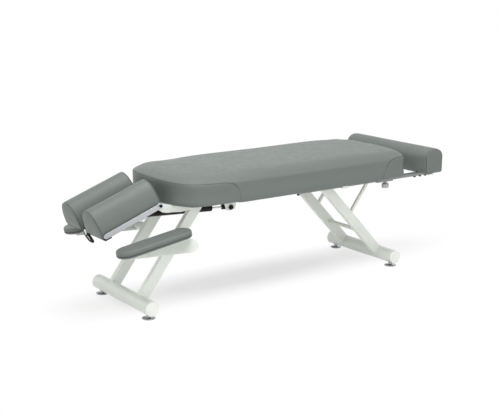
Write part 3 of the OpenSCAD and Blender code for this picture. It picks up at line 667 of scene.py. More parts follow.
def path_points(points: Sequence[Vector], spots: Sequence[float]) -> list[Vector]:
    """Points of a path at distances along it.

    Args:
        points: The path.
        spots: The distances, in rising order.

    Returns:
        The point at each distance.
    """
    lengths = run_lengths(points)
    result, index = [], 0
    for spot in spots:
        while index < len(points) - 2 and lengths[index + 1] < spot:
            index += 1
        run = lengths[index + 1] - lengths[index] or 1
        result.append(points[index].lerp(points[index + 1], (spot - lengths[index]) / run))
    return result


def even_path(points: Sequence[Vector], step: float) -> list[Vector]:
    """Points at an even distance along a path, its ends kept.

    Args:
        points: The path.
        step: The distance, about.

    Returns:
        The points.
    """
    whole = run_lengths(points)[-1]
    count = max(2, round(whole / step))
    return path_points(points, [whole * number / count for number in range(count + 1)])


def weld_bead(path: Sequence[Vector], radius: float = 1.9, closed: bool = True) -> bmesh.types.BMesh:
    """Rippled bead of weld along a path.

    Args:
        path: Corners of the path, in metres.
        radius: Radius of the bead, in millimetres.
        closed: Whether the path comes back to its start.

    Returns:
        The bead.
    """
    step, ripple, ripple_steps = 0.0012, 0.16, 3.3
    points = even_path([*path, path[0]] if closed else path, step)
    if closed:
        points.pop()
    return tube_along(points, radius * MM, closed,
                      lambda index: 1 + ripple * math.sin(index * math.tau / ripple_steps))


def ring_skin(rings: Sequence[Ring]) -> tuple[bmesh.types.BMesh, list[list[bmesh.types.BMVert]]]:
    """Closed skin drawn out ring by ring from a disc.

    Args:
        rings: Rings of equal length, from one end of the skin to the other.

    Returns:
        The mesh, and its vertices ring by ring.
    """
    bm = bmesh.new()
    bm.verts.layers.float.new("seam")
    made = bmesh.ops.create_circle(bm, cap_ends=True, segments=len(rings[0]), radius=1)
    rows = [list(made["verts"])]
    for vert, place in zip(rows[0], rings[0]):
        vert.co = place
    rim = list(bm.edges)
    for ring in rings[1:]:
        old = {vert: index for index, vert in enumerate(rows[-1])}
        drawn = bmesh.ops.extrude_edge_only(bm, edges=rim)["geom"]
        row: list[bmesh.types.BMVert | None] = [None] * len(ring)
        for vert in (item for item in drawn if isinstance(item, bmesh.types.BMVert)):
            partner = next(edge.other_vert(vert) for edge in vert.link_edges
                           if edge.other_vert(vert) in old)
            row[old[partner]] = vert
        fresh = set(row)
        rim = [item for item in drawn if isinstance(item, bmesh.types.BMEdge)
               and all(vert in fresh for vert in item.verts)]
        for vert, place in zip(row, ring):
            vert.co = place
        rows.append(row)
    caps = [bmesh.ops.contextual_create(bm, geom=rim)["faces"][0]]
    caps += [face for face in bm.faces if len(face.verts) == len(rings[0]) and face not in caps]
    bmesh.ops.triangulate(bm, faces=caps, quad_method="BEAUTY", ngon_method="BEAUTY")
    bmesh.ops.recalc_face_normals(bm, faces=bm.faces)
    return bm, rows


# Cushions


@dataclass(frozen=True)
class Padding:
    """How a cushion is stuffed and sewn: millimetres, and the cloth settings' own units."""

    shrink: float = 2.5
    cap: float = 6.0
    pressure: float = 4.0
    stiffness: float = 28.0
    mass: float = 0.3
    bending: float = 4.0
    quality: int = 5
    seam_hold: float = 0.9
    valley: float = 2.8
    valley_power: float = 1.6
    beside_seam: float = 0.6
    fill: float = 0.9
    frames: int = 20
    easing: int = 6


@dataclass
class Cushion:
    """A vinyl cover over foam, from rings of points, blown up and then sewn. Metres."""

    name: str
    body: str
    nodes: tuple[str, ...]
    rings: list[Ring]
    seam_rows: set[int]
    padding: Padding = field(default_factory=Padding)
    held_rows: frozenset[int] = frozenset()
    held_where: Callable[[Vector], bool] = lambda place: False
    seam_shown: Callable[[Vector], bool] = lambda place: True
    stitch_gap: float = 0.005
    stitch_lift: float = 0.0001
    stitch_size: tuple[float, float, float, float] = (0.0018, 0.00045, 0.00035, 1)

    def build(self) -> bpy.types.Object:
        """Builds the cover, its seams and their thread.

        Returns:
            The cover.
        """
        bm, rows = ring_skin(self.rings)
        layer = bm.verts.layers.float["seam"]
        bm.verts.index_update()
        # The seam weight sinks the seam valley and also darkens the vinyl there with dirt and painted
        # shade
        for number in self.seam_rows:
            beside = self.padding.beside_seam
            for row, depth in ((number - 1, beside), (number + 1, beside), (number, 1.0)):
                for vert in rows[row]:
                    vert[layer] = depth if self.seam_shown(vert.co) else 0.0
        held = {vert.index: self.padding.seam_hold
                for number in self.seam_rows for vert in rows[number]}
        held |= {vert.index: 1.0 for number in self.held_rows for vert in rows[number]}
        held |= {vert.index: 1.0 for vert in bm.verts if self.held_where(vert.co)}
        paths = [[vert.index for vert in rows[number]] for number in sorted(self.seam_rows)]
        piece = piece_of(bm, self.name, self.body, VINYL, self.nodes, ALL_SMOOTH)
        self.inflate(piece, held)
        self.refine(piece)
        self.sew(piece, paths)
        return piece

    def inflate(self, piece: bpy.types.Object, held: dict[int, float]) -> None:
        """Blows the cover up from a slightly smaller shape, as cloth.

        Args:
            piece: The cover.
            held: Weight by which each held vertex stays.
        """
        mesh, padding, scene = piece.data, self.padding, bpy.context.scene
        start = [vert.co - vert.normal * padding.shrink * MM * (1 - held.get(vert.index, 0.0))
                 for vert in mesh.vertices]
        for vert, place in zip(mesh.vertices, start):
            vert.co = place
        group = piece.vertex_groups.new(name="held")
        for index, weight in held.items():
            group.add([index], weight, "REPLACE")
        cloth = piece.modifiers.new("cloth", "CLOTH")
        settings = cloth.settings
        settings.quality = padding.quality
        settings.mass = padding.mass
        for kind in ("tension", "compression", "shear"):
            setattr(settings, f"{kind}_stiffness", padding.stiffness)
        settings.bending_stiffness = padding.bending
        settings.use_pressure = True
        settings.uniform_pressure_force = padding.pressure
        settings.vertex_group_mass = group.name
        settings.effector_weights.gravity = 0
        cloth.collision_settings.use_collision = False
        cloth.point_cache.frame_start = 1
        cloth.point_cache.frame_end = padding.frames
        for number in range(1, padding.frames + 1):
            scene.frame_set(number)
        graph = bpy.context.evaluated_depsgraph_get()
        blown = [vert.co.copy() for vert in piece.evaluated_get(graph).data.vertices]
        piece.modifiers.remove(cloth)
        piece.vertex_groups.clear()
        scene.frame_set(1)
        limit = padding.cap * MM
        for vert, first, last in zip(mesh.vertices, start, blown):
            move = last - first
            if move.length > limit:
                move *= limit / move.length
            vert.co = move
        self.ease(piece, held)
        for vert, first in zip(mesh.vertices, start):
            vert.co = first + vert.co

    def ease(self, piece: bpy.types.Object, held: dict[int, float]) -> None:
        """Evens out how far the cover swelled, so that its small creases go and its shape stays.

        Args:
            piece: The cover, with each vertex's move in place of its position.
            held: The vertices that stay as they are.
        """
        bm = bmesh.new()
        bm.from_mesh(piece.data)
        loose = [vert for vert in bm.verts if vert.index not in held]
        for _ in range(self.padding.easing):
            bmesh.ops.smooth_vert(bm, verts=loose, factor=0.5,
                                  use_axis_x=True, use_axis_y=True, use_axis_z=True)
        bm.to_mesh(piece.data)
        bm.free()

    def refine(self, piece: bpy.types.Object) -> None:
        """One subdivision, then the valley along the seams.

        Args:
            piece: The cover.
        """
        finer = piece.modifiers.new("finer", "SUBSURF")
        finer.levels = finer.render_levels = 1
        graph = bpy.context.evaluated_depsgraph_get()
        mesh = bpy.data.meshes.new_from_object(piece.evaluated_get(graph))
        piece.modifiers.clear()
        piece.data = mesh
        depth, power = self.padding.valley * MM, self.padding.valley_power
        weights = mesh.attributes["seam"].data
        moved = [vert.co - vert.normal * depth * weights[vert.index].value ** power
                 for vert in mesh.vertices]
        for vert, place in zip(mesh.vertices, moved):
            vert.co = place
        mesh.shade_smooth()

    def sew(self, piece: bpy.types.Object, paths: list[list[int]]) -> None:
        """Thread that shows in the seams: a row of small dark stitches, whose darkness is also painted
        shade along the seam line.

        Args:
            piece: The cover.
            paths: Vertices along each seam.
        """
        verts = piece.data.vertices
        stitches = []
        for path in paths:
            loop = [verts[index] for index in path]
            loop.append(loop[0])
            travel = 0.0
            for first, second in zip(loop, loop[1:]):
                run = second.co - first.co
                travel += run.length
                middle = (first.co + second.co) / 2
                hidden = not self.seam_shown(middle) or run.length < SKIN_MERGE
                if travel < self.stitch_gap or hidden:
                    continue
                travel = 0.0
                normal = (first.normal + second.normal).normalized()
                place = middle + normal * self.stitch_lift
                stitches.append(self.stitch(place, run.normalized(), normal))
        if stitches:
            piece_of(joined(stitches), f"{self.name}_thread", self.body, THREAD_WITH_PAINTED_SHADE)

    def stitch(self, place: Vector, along: Vector, normal: Vector) -> bmesh.types.BMesh:
        """One stitch: a flat grain of thread.

        Args:
            place: Its middle.
            along: Direction of the seam.
            normal: Direction out of the cover.

        Returns:
            The stitch.
        """
        bm = bmesh.new()
        bmesh.ops.create_uvsphere(bm, u_segments=6, v_segments=4, radius=1)
        aside = normal.cross(along).normalized()
        turn = Matrix((along, aside, along.cross(aside))).transposed()
        bmesh.ops.transform(bm, verts=bm.verts,
                            matrix=Matrix.Translation(place) @ turn.to_4x4()
                            @ Matrix.Diagonal(self.stitch_size))
        return bm


class Stretch(Enum):
    """Stretches of the long pad's outline."""

    FOOT = "foot end"
    FAR = "far side"
    HEAD = "head end"
    NEAR = "near side"


Column = tuple[Stretch, float]


@dataclass(frozen=True)
class PadEnd:
    """Oval end of the long pad and the side seam of its panel, as X and height share. Millimetres."""

    x: float
    reach: float
    power: float
    seam: tuple[Point, ...]

    def bow(self, angle: float, reach: float, half_w: float) -> Point:
        """Point of the end at an angle.

        Args:
            angle: The angle, in radians.
            reach: How far the end reaches.
            half_w: Half its width.

        Returns:
            The point, from the start of the end.
        """
        cosine, sine = math.cos(angle), math.sin(angle)
        share = 2 / self.power
        return (math.copysign(abs(cosine) ** share, cosine) * reach,
                math.copysign(abs(sine) ** share, sine) * half_w)


HEAD_END = PadEnd(-358.9, 182.0, 2.9, (
    (-338, 0.755), (-320, 0.733), (-299, 0.69), (-289, 0.645), (-280, 0.586),
    (-271, 0.523), (-265, 0.43), (-261, 0.283), (-258, 0.06)))
FOOT_END = PadEnd(624.1, 84.0, 2.3, (
    (518, 0.06), (525, 0.186), (532, 0.298), (543, 0.485), (551, 0.596),
    (561, 0.674), (571, 0.718), (584, 0.747), (615, 0.772)))


@dataclass
class PaddedTop:
    """The long pad on its board, its ends wrapped by panels of their own. Millimetres.

    A row of the profile gives how far the cover lies in, as shares of the edge radius at a side and
    at an end, and its height there, as shares of the pad's height.
    """

    ends: dict[Stretch, PadEnd] = field(
        default_factory=lambda: {Stretch.HEAD: HEAD_END, Stretch.FOOT: FOOT_END})
    half_w: float = 260.0
    base_z: float = 434.1
    height: float = 118.0
    crown: float = 3.5
    edge_r: float = 34.0
    column: float = 10.0
    side_column: float = 12.0
    end_steps: int = 1440
    profile_steps: int = 12
    below: int = 8
    above: tuple[int, int] = (9, 20)
    shoulder: int = 5
    profile: tuple[tuple[float, float, float, float], ...] = (
        (0.20, 0.20, -0.02, 0.00), (0.09, 0.06, -0.035, 0.00), (0.00, 0.00, 0.09, 0.10),
        (0.05, 0.02, 0.41, 0.41), (0.00, 0.00, 0.675, 0.69), (0.04, 0.02, 0.719, 0.785),
        (0.33, 0.08, 0.811, 0.855), (0.70, 0.28, 0.895, 0.91), (1.10, 0.70, 0.957, 0.95),
        (1.60, 1.20, 0.991, 0.98), (2.30, 1.90, 1.00, 0.995))
    overshoot: float = 0.02
    middle: float = 0.975
    end_crown: float = 0.75
    seamless: tuple[float, ...] = (514, 504, -246, -254)
    seamless_step: int = 8
    end_seam: float = 0.793
    seam_sides: Point = (1.7, 4.6)
    low_seam: float = 0.12
    seam_to_edge: float = 30.0
    edge_half: float = 4.0
    held: int = 3
    seam_above: float = 1.5
    padding: Padding = Padding(shrink=2.2, cap=5, pressure=2.6, easing=24)

    def end_columns(self, stretch: Stretch, start: float) -> list[Column]:
        """Columns round an end, evenly spread.

        Args:
            stretch: The end.
            start: Angle of its first column, in degrees.

        Returns:
            The end with the angle of each column, in radians.
        """
        end = self.ends[stretch]
        angles = [math.radians(start + 180 * step / self.end_steps)
                  for step in range(self.end_steps + 1)]
        lengths = run_lengths([end.bow(angle, end.reach, self.half_w) for angle in angles])
        count = round(lengths[-1] / self.column)
        return [(stretch, angles[bisect_left(lengths, lengths[-1] * number / count)])
                for number in range(count)]

    def side_columns(self, stretch: Stretch, stops: Sequence[float]) -> list[Column]:
        """Columns along a straight side, closer near the seams.

        Args:
            stretch: The side.
            stops: Places that get a column.

        Returns:
            The side with the X of each column.
        """
        columns = []
        for first, second in zip(stops, stops[1:]):
            count = max(1, round(abs(second - first) / self.side_column))
            columns += [(stretch, first + (second - first) * step / count)
                        for step in range(count)]
        return columns

    def outline(self) -> list[Column]:
        """Columns round the pad, from the foot end over the far side.

        Returns:
            The stretch of each column with its X, or with its angle at an end.
        """
        stops = [FOOT_END.x, *(x for x, _ in reversed(FOOT_END.seam)), *self.seamless,
                 *(x for x, _ in reversed(HEAD_END.seam)), HEAD_END.x]
        return [*self.end_columns(Stretch.FOOT, -90), *self.side_columns(Stretch.FAR, stops),
                *self.end_columns(Stretch.HEAD, 90), *self.side_columns(Stretch.NEAR, stops[::-1])]

    def shares(self, row: float) -> list[float]:
        """Profile shares at a row, on a smooth curve between whole rows.

        Args:
            row: The row, which may lie between two rows.

        Returns:
            The four shares.
        """
        last = len(self.profile) - 1
        row = min(max(row, 0), last)
        index = min(int(row), last - 1)
        part = row - index
        rows = [self.profile[min(max(number, 0), last)] for number in range(index - 1, index + 3)]
        result = []
        for a, b, c, d in zip(*rows):
            smooth = 0.5 * (2 * b + (c - a) * part + (2 * a - 5 * b + 4 * c - d) * part ** 2
                            + (3 * b - a - 3 * c + d) * part ** 3)
            result.append(min(max(smooth, min(b, c) - self.overshoot), max(b, c) + self.overshoot))
        return result

    def place(self, column: Column, row: float) -> Vector:
        """Point of the cover in one column, at a row of the profile.

        Args:
            column: Stretch of the outline, and the place or angle in it.
            row: Row of the profile; the last unit leads over the crown to the middle.

        Returns:
            The point, in metres.
        """
        side_in, end_in, side_z, end_z = self.shares(row)
        over = max(row - len(self.profile) + 1, 0)
        rest = 1 - self.middle * over
        half_w = (self.half_w - side_in * self.edge_r) * rest
        stretch, value = column
        if stretch in self.ends:
            end = self.ends[stretch]
            x, y = end.bow(value, (end.reach - end_in * self.edge_r) * rest, half_w)
            x, share = x + end.x, math.cos(value) ** 2
        else:
            x, y, share = value, half_w * (1 if stretch is Stretch.FAR else -1), 0.0
        z = self.base_z + self.height * (side_z * (1 - share) + end_z * share)
        top = self.base_z + self.height + self.crown
        z += (top - z) * (1 - (1 - over) ** 2) * (1 - share * (1 - self.end_crown))
        return Vector((x, y, z)) * MM

    def seam_height(self, column: Column) -> float:
        """Height share of the seam in a column.

        Args:
            column: Stretch of the outline, and the place or angle in it.

        Returns:
            The share, or -1 between the panels, where there is no seam.
        """
        stretch, value = column
        if stretch in self.ends:
            side = between(self.ends[stretch].x, self.ends[stretch].seam)
            return side + (self.end_seam - side) * math.sqrt(abs(math.cos(value)))
        if self.seamless[-1] - 1 <= value <= self.seamless[0] + 1:
            return -1.0
        return between(value, HEAD_END.seam if value < 0 else FOOT_END.seam)

    def column_points(self, column: Column) -> Ring:
        """The points of one column, from the board's edge to the crown.

        Args:
            column: Stretch of the outline, and the place or angle in it.

        Returns:
            The points: rows below the seam, the seam, and rows above it.
        """
        fine = self.profile_steps
        places = [self.place(column, step / fine) for step in range(len(self.profile) * fine + 1)]
        lengths = run_lengths(places)
        share = self.seam_height(column)
        if share < 0:
            seam = lengths[self.seamless_step]
        else:
            wanted = (self.base_z + self.height * share) * MM
            index = next(number for number in range(fine + 1, len(places))
                         if places[number].z >= wanted)
            low, high = places[index - 1], places[index]
            part = (wanted - low.z) / max(high.z - low.z, 1e-9)
            seam = lengths[index - 1] + (lengths[index] - lengths[index - 1]) * part
        close, wide = (step * MM for step in self.seam_sides)
        under = [min(close, seam * self.low_seam), min(wide, seam * self.low_seam * 2)]
        spots = [(seam - under[1]) * number / self.below for number in range(self.below + 1)]
        spots += [seam - under[0], seam, seam + close, seam + wide]
        edge = max(lengths[self.shoulder * fine], spots[-1] + self.seam_to_edge * MM)
        half = self.edge_half * MM
        for stop, count in ((edge - half, self.above[0]), (edge, 1), (edge + half, 1),
                            (lengths[-1], self.above[1])):
            start = spots[-1]
            spots += [start + (stop - start) * number / count for number in range(1, count + 1)]
        return path_points(places, spots)

    def build(self) -> None:
        """Builds the cover and the board."""
        columns = [self.column_points(column) for column in self.outline()]
        rings = [list(ring) for ring in zip(*columns)]
        Cushion("main_pad_cover", "base", ("main_pad",), rings, {self.below + 2},
                self.padding, frozenset(range(self.held)),
                seam_shown=lambda place: place.z > (self.base_z + self.seam_above) * MM).build()
        dress_board("pad_board", "base")


@dataclass(frozen=True)
class Arch:
    """Section of a roll or bolster, upright over its base. Millimetres."""

    width: float
    height: float
    side: float
    length: float
    step: float = 7.0
    arc_steps: int = 120
    middle: float = 0.42
    foot: tuple[Point, ...] = ((0.97, 0.0), (0.995, 0.2), (1.0, 0.5))
    panel: tuple[Point, ...] = (
        (0.6, 0.05), (0.5, 0.25), (0.3, 0.45), (0.1, 0.62), (0.0, 0.77), (0.3, 0.86),
        (1.0, 0.92), (2.2, 0.955), (3.6, 0.975), (5.0, 0.985))
    seam: Point = (6.6, 0.991)
    beyond: tuple[Point, ...] = ((8.2, 0.995), (11.5, 0.999))
    plain: float = 19.0

    def section(self) -> list[Point]:
        """Points round the section, evenly spread, from one lower corner over the top.

        Returns:
            Their places across and up.
        """
        half, rise = self.width / 2, self.height - self.side
        fine = [(half * across, self.side * up) for across, up in self.foot]
        angles = [math.pi * number / self.arc_steps for number in range(self.arc_steps + 1)]
        fine += [(half * math.cos(angle), self.side + rise * math.sin(angle)) for angle in angles]
        fine += [(-x, z) for x, z in reversed(fine[:len(self.foot)])]
        over = even_path([Vector((x, z, 0)) for x, z in fine], self.step)
        under = even_path([over[-1], over[0]], self.step)[1:-1]
        return [(point.x, point.y) for point in (*over, *under)]

    def rings(self) -> tuple[list[Ring], int, int]:
        """Rings along the length, from the middle of one end panel to the other.

        Returns:
            The rings, lying along X from 0, and the numbers of the two seam rings.
        """
        section = self.section()
        centre = self.height * self.middle
        first = len(self.panel)
        near = [*self.panel, self.seam, *self.beyond]
        count = round((self.length - 2 * self.plain) / self.step)
        places = near + [(self.plain + (self.length - 2 * self.plain) * number / count, 1.0)
                         for number in range(count + 1)]
        places += [(self.length - x, scale) for x, scale in reversed(near)]
        stations = [[Vector((x, y * scale, max(centre + (z - centre) * scale, 0.0)))
                     for y, z in section] for x, scale in places]
        return stations, first, len(stations) - 1 - first


FIRM = Padding(shrink=2, cap=5, pressure=4, easing=2)
# Height over its board, in millimetres, up to which an arched cover stays where it is
GLUED = 0.6


def arch_cushion(name: str, body: str, nodes: tuple[str, ...], arch: Arch, place: Matrix,
                 padding: Padding) -> None:
    """Builds an arched cushion with a seam round each end panel.

    Args:
        name: Name of the cover.
        body: Body that it rides on.
        nodes: CAD nodes that it stands for.
        arch: Its section and length.
        place: Where it lies, from millimetres along X to metres in the table's frame.
        padding: How it is stuffed.
    """
    rings, first, second = arch.rings()
    inverse = place.inverted()
    placed = [[place @ point for point in ring] for ring in rings]
    Cushion(name, body, nodes, placed, {first, second}, padding,
            held_where=lambda spot: (inverse @ spot).z < GLUED).build()


HINGE = Vector((-582.538, 0, 443.12)) * MM
HINGE_IN_REST = (9.5, 11.85)
FACE_TURN = Matrix.Rotation(-FACE_TILT, 3, "Y")


def face_place(u: float, y: float, v: float) -> Vector:
    """Point of the face rest's tilted plane: u towards the head, v up from the boards."""
    along, up = HINGE_IN_REST
    return HINGE + FACE_TURN @ (Vector((along - u, y, v - up)) * MM)


def placed_matrix(origin: Vector, turn: Matrix) -> Matrix:
    """Matrix from millimetres in a turned frame to metres in the table's frame."""
    return Matrix.Translation(origin) @ turn.to_4x4() @ Matrix.Scale(MM, 4)


@dataclass
class FaceRest:
    """Two rolls on boards between side bars that hinge on the base. Millimetres."""

    roll: Arch = Arch(138, 115.5, 19, 291)
    roll_u: float = 286.0
    roll_v: float = 0.5
    gap: float = 46.0
    board_margin: float = 14.0
    lever_v: float = -12.0
    lever_u: float = 276.225
    lever_lean: float = 12.0
    lever_wire: float = 5.6
    front_bar_x: float = -795.0
    lever_half: tuple[float, float] = (20.0, 14.0)
    lever_length: float = 38.0
    lever_bend: float = 6.0
    bend_steps: int = 8
    wire_sides: int = 4
    screw_steps: int = 20
    screw_u: tuple[float, ...] = (27.0, 100.0, 261.0)
    screw_y: tuple[float, ...] = (-140.0, -62.0, 62.0, 140.0)
    screw_v: float = -6.0
    screw: tuple[Point, ...] = ((0, 2.2), (1.6, 2.1), (3.0, 1.6), (4.0, 0.8), (4.3, 0), (0, 0))

    def build(self) -> None:
        """Builds rolls, boards, bars and the release lever."""
        for side, sign in SIDES:
            origin = face_place(self.roll_u, sign * (self.gap + self.roll.width) / 2, self.roll_v)
            arch_cushion(f"face_roll_{side}_cover", "headpiece", (f"face_roll_{side}",), self.roll,
                         placed_matrix(origin, FACE_TURN), FIRM)
            dress_board(f"face_board_{side}", "headpiece", -FACE_TILT, self.board_margin)
            dress(f"head_bar_{side}", "headpiece", ALUMINIUM)
        recolour(dress("head_cross_bars", "headpiece", FRAME_PAINT), BLACK_PART,
                 lambda face: face.center.x < self.front_bar_x * MM)
        dress("lever_plate", "headpiece", FRAME_PAINT)
        self.build_screws()
        self.build_lever()

    def build_screws(self) -> None:
        """Screws that hold the boards on the cross bars, from below."""
        turn = Matrix.Rotation(math.pi - FACE_TILT, 4, "Y")
        screws = []
        for u in self.screw_u:
            for y in self.screw_y:
                bm = lathe(self.screw, Vector(), self.screw_steps)
                place = Matrix.Translation(face_place(u, y, self.screw_v)) @ turn
                bmesh.ops.transform(bm, matrix=place, verts=bm.verts)
                screws.append(bm)
        piece_of(joined(screws), "board_screws", "headpiece", FASTENER)

    def build_lever(self) -> None:
        """Loop of wire with rounded corners."""
        lean = Matrix.Rotation(math.radians(-self.lever_lean), 3, "Y")
        wide, narrow = self.lever_half
        drop = -self.lever_length
        corners = [Vector((0, y, z)) for y, z in
                   ((wide, 0), (narrow, drop), (-narrow, drop), (-wide, 0))]
        places = []
        for index, here in enumerate(corners):
            start, end = (here + (other - here).normalized() * self.lever_bend
                          for other in (corners[index - 1], corners[(index + 1) % len(corners)]))
            for step in range(self.bend_steps + 1):
                part = step / self.bend_steps
                bend = (1 - part) ** 2 * start + 2 * part * (1 - part) * here + part ** 2 * end
                local = lean @ bend
                places.append(face_place(self.lever_u - local.x, local.y, self.lever_v + local.z))
        wire = tube_along(places, self.lever_wire * MM, True, sides=self.wire_sides)
        piece_of(wire, "release_lever_loop", "release_lever", BLACK_PART, ["release_lever"])


@dataclass
class GasSpring:
    """Locking gas spring between the face rest and the base. Millimetres."""

    rear_pin: tuple[float, float, float] = (-144.897, 0.0, 351.0)
    head_reach: float = 36.5
    knob_steps: int = 32
    knob: tuple[Point, ...] = ((6.9, 18.4), (8.0, 18.6), (10.4, 19.0), (11.0, 20.0),
                               (11.0, 22.6), (10.0, 24.6), (7.5, 25.4), (0, 25.4))

    def build(self) -> None:
        """Dresses cylinder, rod, lugs, bracket and pins."""
        dress("spring_cylinder", "spring_cylinder", SPRING_BLACK)
        pin = Vector(self.rear_pin) * MM
        recolour(dress("spring_rod", "spring_rod", CHROME), BLACK_PART,
                 lambda face: (face.center - pin).length < self.head_reach * MM)
        dress("spring_clevis", "headpiece", FRAME_PAINT)
        dress("front_spring_pin", "headpiece", FASTENER)
        dress("spring_bracket", "base", FRAME_PAINT, PLATE)
        mirrored = [(radius, -along) for radius, along in reversed(self.knob)]
        bm = lathe([*mirrored, *self.knob], Vector(), self.knob_steps)
        across = Matrix.Translation(pin) @ Matrix.Rotation(math.pi / 2, 4, "X")
        bmesh.ops.transform(bm, verts=bm.verts, matrix=across)
        piece_of(bm, "rear_spring_pin_knobs", "base", BLACK_PART, ["rear_spring_pin"])


@dataclass
class Armrests:
    """Two padded arms that swing on spindles welded to the head legs. Millimetres."""

    pad_x: float = -646.8
    pad_z: float = 302.5
    pad_y: float = 230.0
    length: float = 334.0
    width: float = 96.0
    height: float = 27.0
    tilt: float = 8.6
    column: float = 8.0
    rows: tuple[Point, ...] = ((0.55, 0.00), (0.30, 0.00), (0.12, 0.03), (0.03, 0.12), (0.0, 0.26),
                               (0.0, 0.34), (0.0, 0.42), (0.0, 0.55), (0.01, 0.68), (0.06, 0.80),
                               (0.16, 0.89), (0.32, 0.95), (0.62, 0.985))
    edge_r: float = 14.0
    under: tuple[float, ...] = (0.95, 0.8, 0.65, 0.5, 0.36)
    over: tuple[float, ...] = (0.30, 0.45, 0.62, 0.80, 0.95)
    crown_reach: float = 0.6
    held: int = 7
    seam: int = 10
    padding: Padding = Padding(shrink=1.2, cap=3, pressure=3, valley=1.2)

    def outline(self, inset: float) -> list[Point]:
        """Plan of the pad: straight sides between half circles, evenly spread.

        Args:
            inset: How far it lies in from the pad's edge.

        Returns:
            The points.
        """
        half = (self.length - self.width) / 2
        radius = self.width / 2
        bends = round(math.pi * radius / self.column)
        runs = round(2 * half / self.column)
        points = []
        for sign in (1, -1):
            for number in range(bends):
                angle = math.pi * number / bends - math.pi / 2
                points.append((sign * (half + (radius - inset) * math.cos(angle)),
                               sign * (radius - inset) * math.sin(angle)))
            points += [(sign * (half - 2 * half * number / runs), sign * (radius - inset))
                       for number in range(runs)]
        return points

    def rings(self) -> list[Ring]:
        """Rings from the middle of the underside to the middle of the top.

        Returns:
            The rings, in millimetres.
        """
        radius, top = self.width / 2, self.rows[-1][1]
        levels = [(radius * share, 0.0) for share in self.under]
        levels += [(inset * self.edge_r, share) for inset, share in self.rows]
        levels += [(radius * share, top + (1 - top) * min(share / self.crown_reach, 1))
                   for share in self.over]
        return [[Vector((x, y, share * self.height)) for x, y in self.outline(inset)]
                for inset, share in levels]

    def build(self) -> None:
        """Builds the pads and dresses arms, plates and spindles."""
        turn = Matrix.Rotation(math.radians(-self.tilt), 3, "Y")
        rings = self.rings()
        for side, sign in SIDES:
            body = f"armrest_{side}"
            place = placed_matrix(Vector((self.pad_x, sign * self.pad_y, self.pad_z)) * MM, turn)
            Cushion(f"armrest_pad_{side}_cover", body, (f"armrest_pad_{side}",),
                    [[place @ point for point in ring] for ring in rings], {self.seam},
                    self.padding, frozenset(range(self.held))).build()
            dress(f"armrest_arm_{side}", body, FRAME_PAINT, CAST)
            dress(f"armrest_plate_{side}", body, FRAME_PAINT)
            dress(f"armrest_spindle_{side}", "base", FRAME_PAINT)


@dataclass
class AnkleBolster:
    """Bolster on two rails that slide in channels under the top. Millimetres."""

    arch: Arch = Arch(105, 116, 76, 568)
    x: float = 816.603
    base_z: float = 434.2
    board_margin: float = 16.0

    def build(self) -> None:
        """Builds the bolster and dresses its rails, channels, knobs and buttons."""
        origin = Vector((self.x, -self.arch.length / 2, self.base_z)) * MM
        arch_cushion("bolster_cover", "bolster", ("bolster_pad",), self.arch,
                     placed_matrix(origin, Matrix.Rotation(math.pi / 2, 3, "Z")), FIRM)
        dress_board("bolster_board", "bolster", margin=self.board_margin)
        dress("bolster_tie", "bolster", FRAME_PAINT)
        dress("rail_buttons", "bolster", BLACK_PART, PLATE)
        dress("slide_guides", "base", FRAME_PAINT)
        for side, _ in SIDES:
            dress(f"slide_rail_{side}", "bolster", RAIL_STEEL, PLATE)
            dress(f"slide_sleeve_{side}", "base", RAIL_STEEL)
            dress(f"clamp_knob_{side}", f"clamp_knob_{side}", KNOB_GREY)


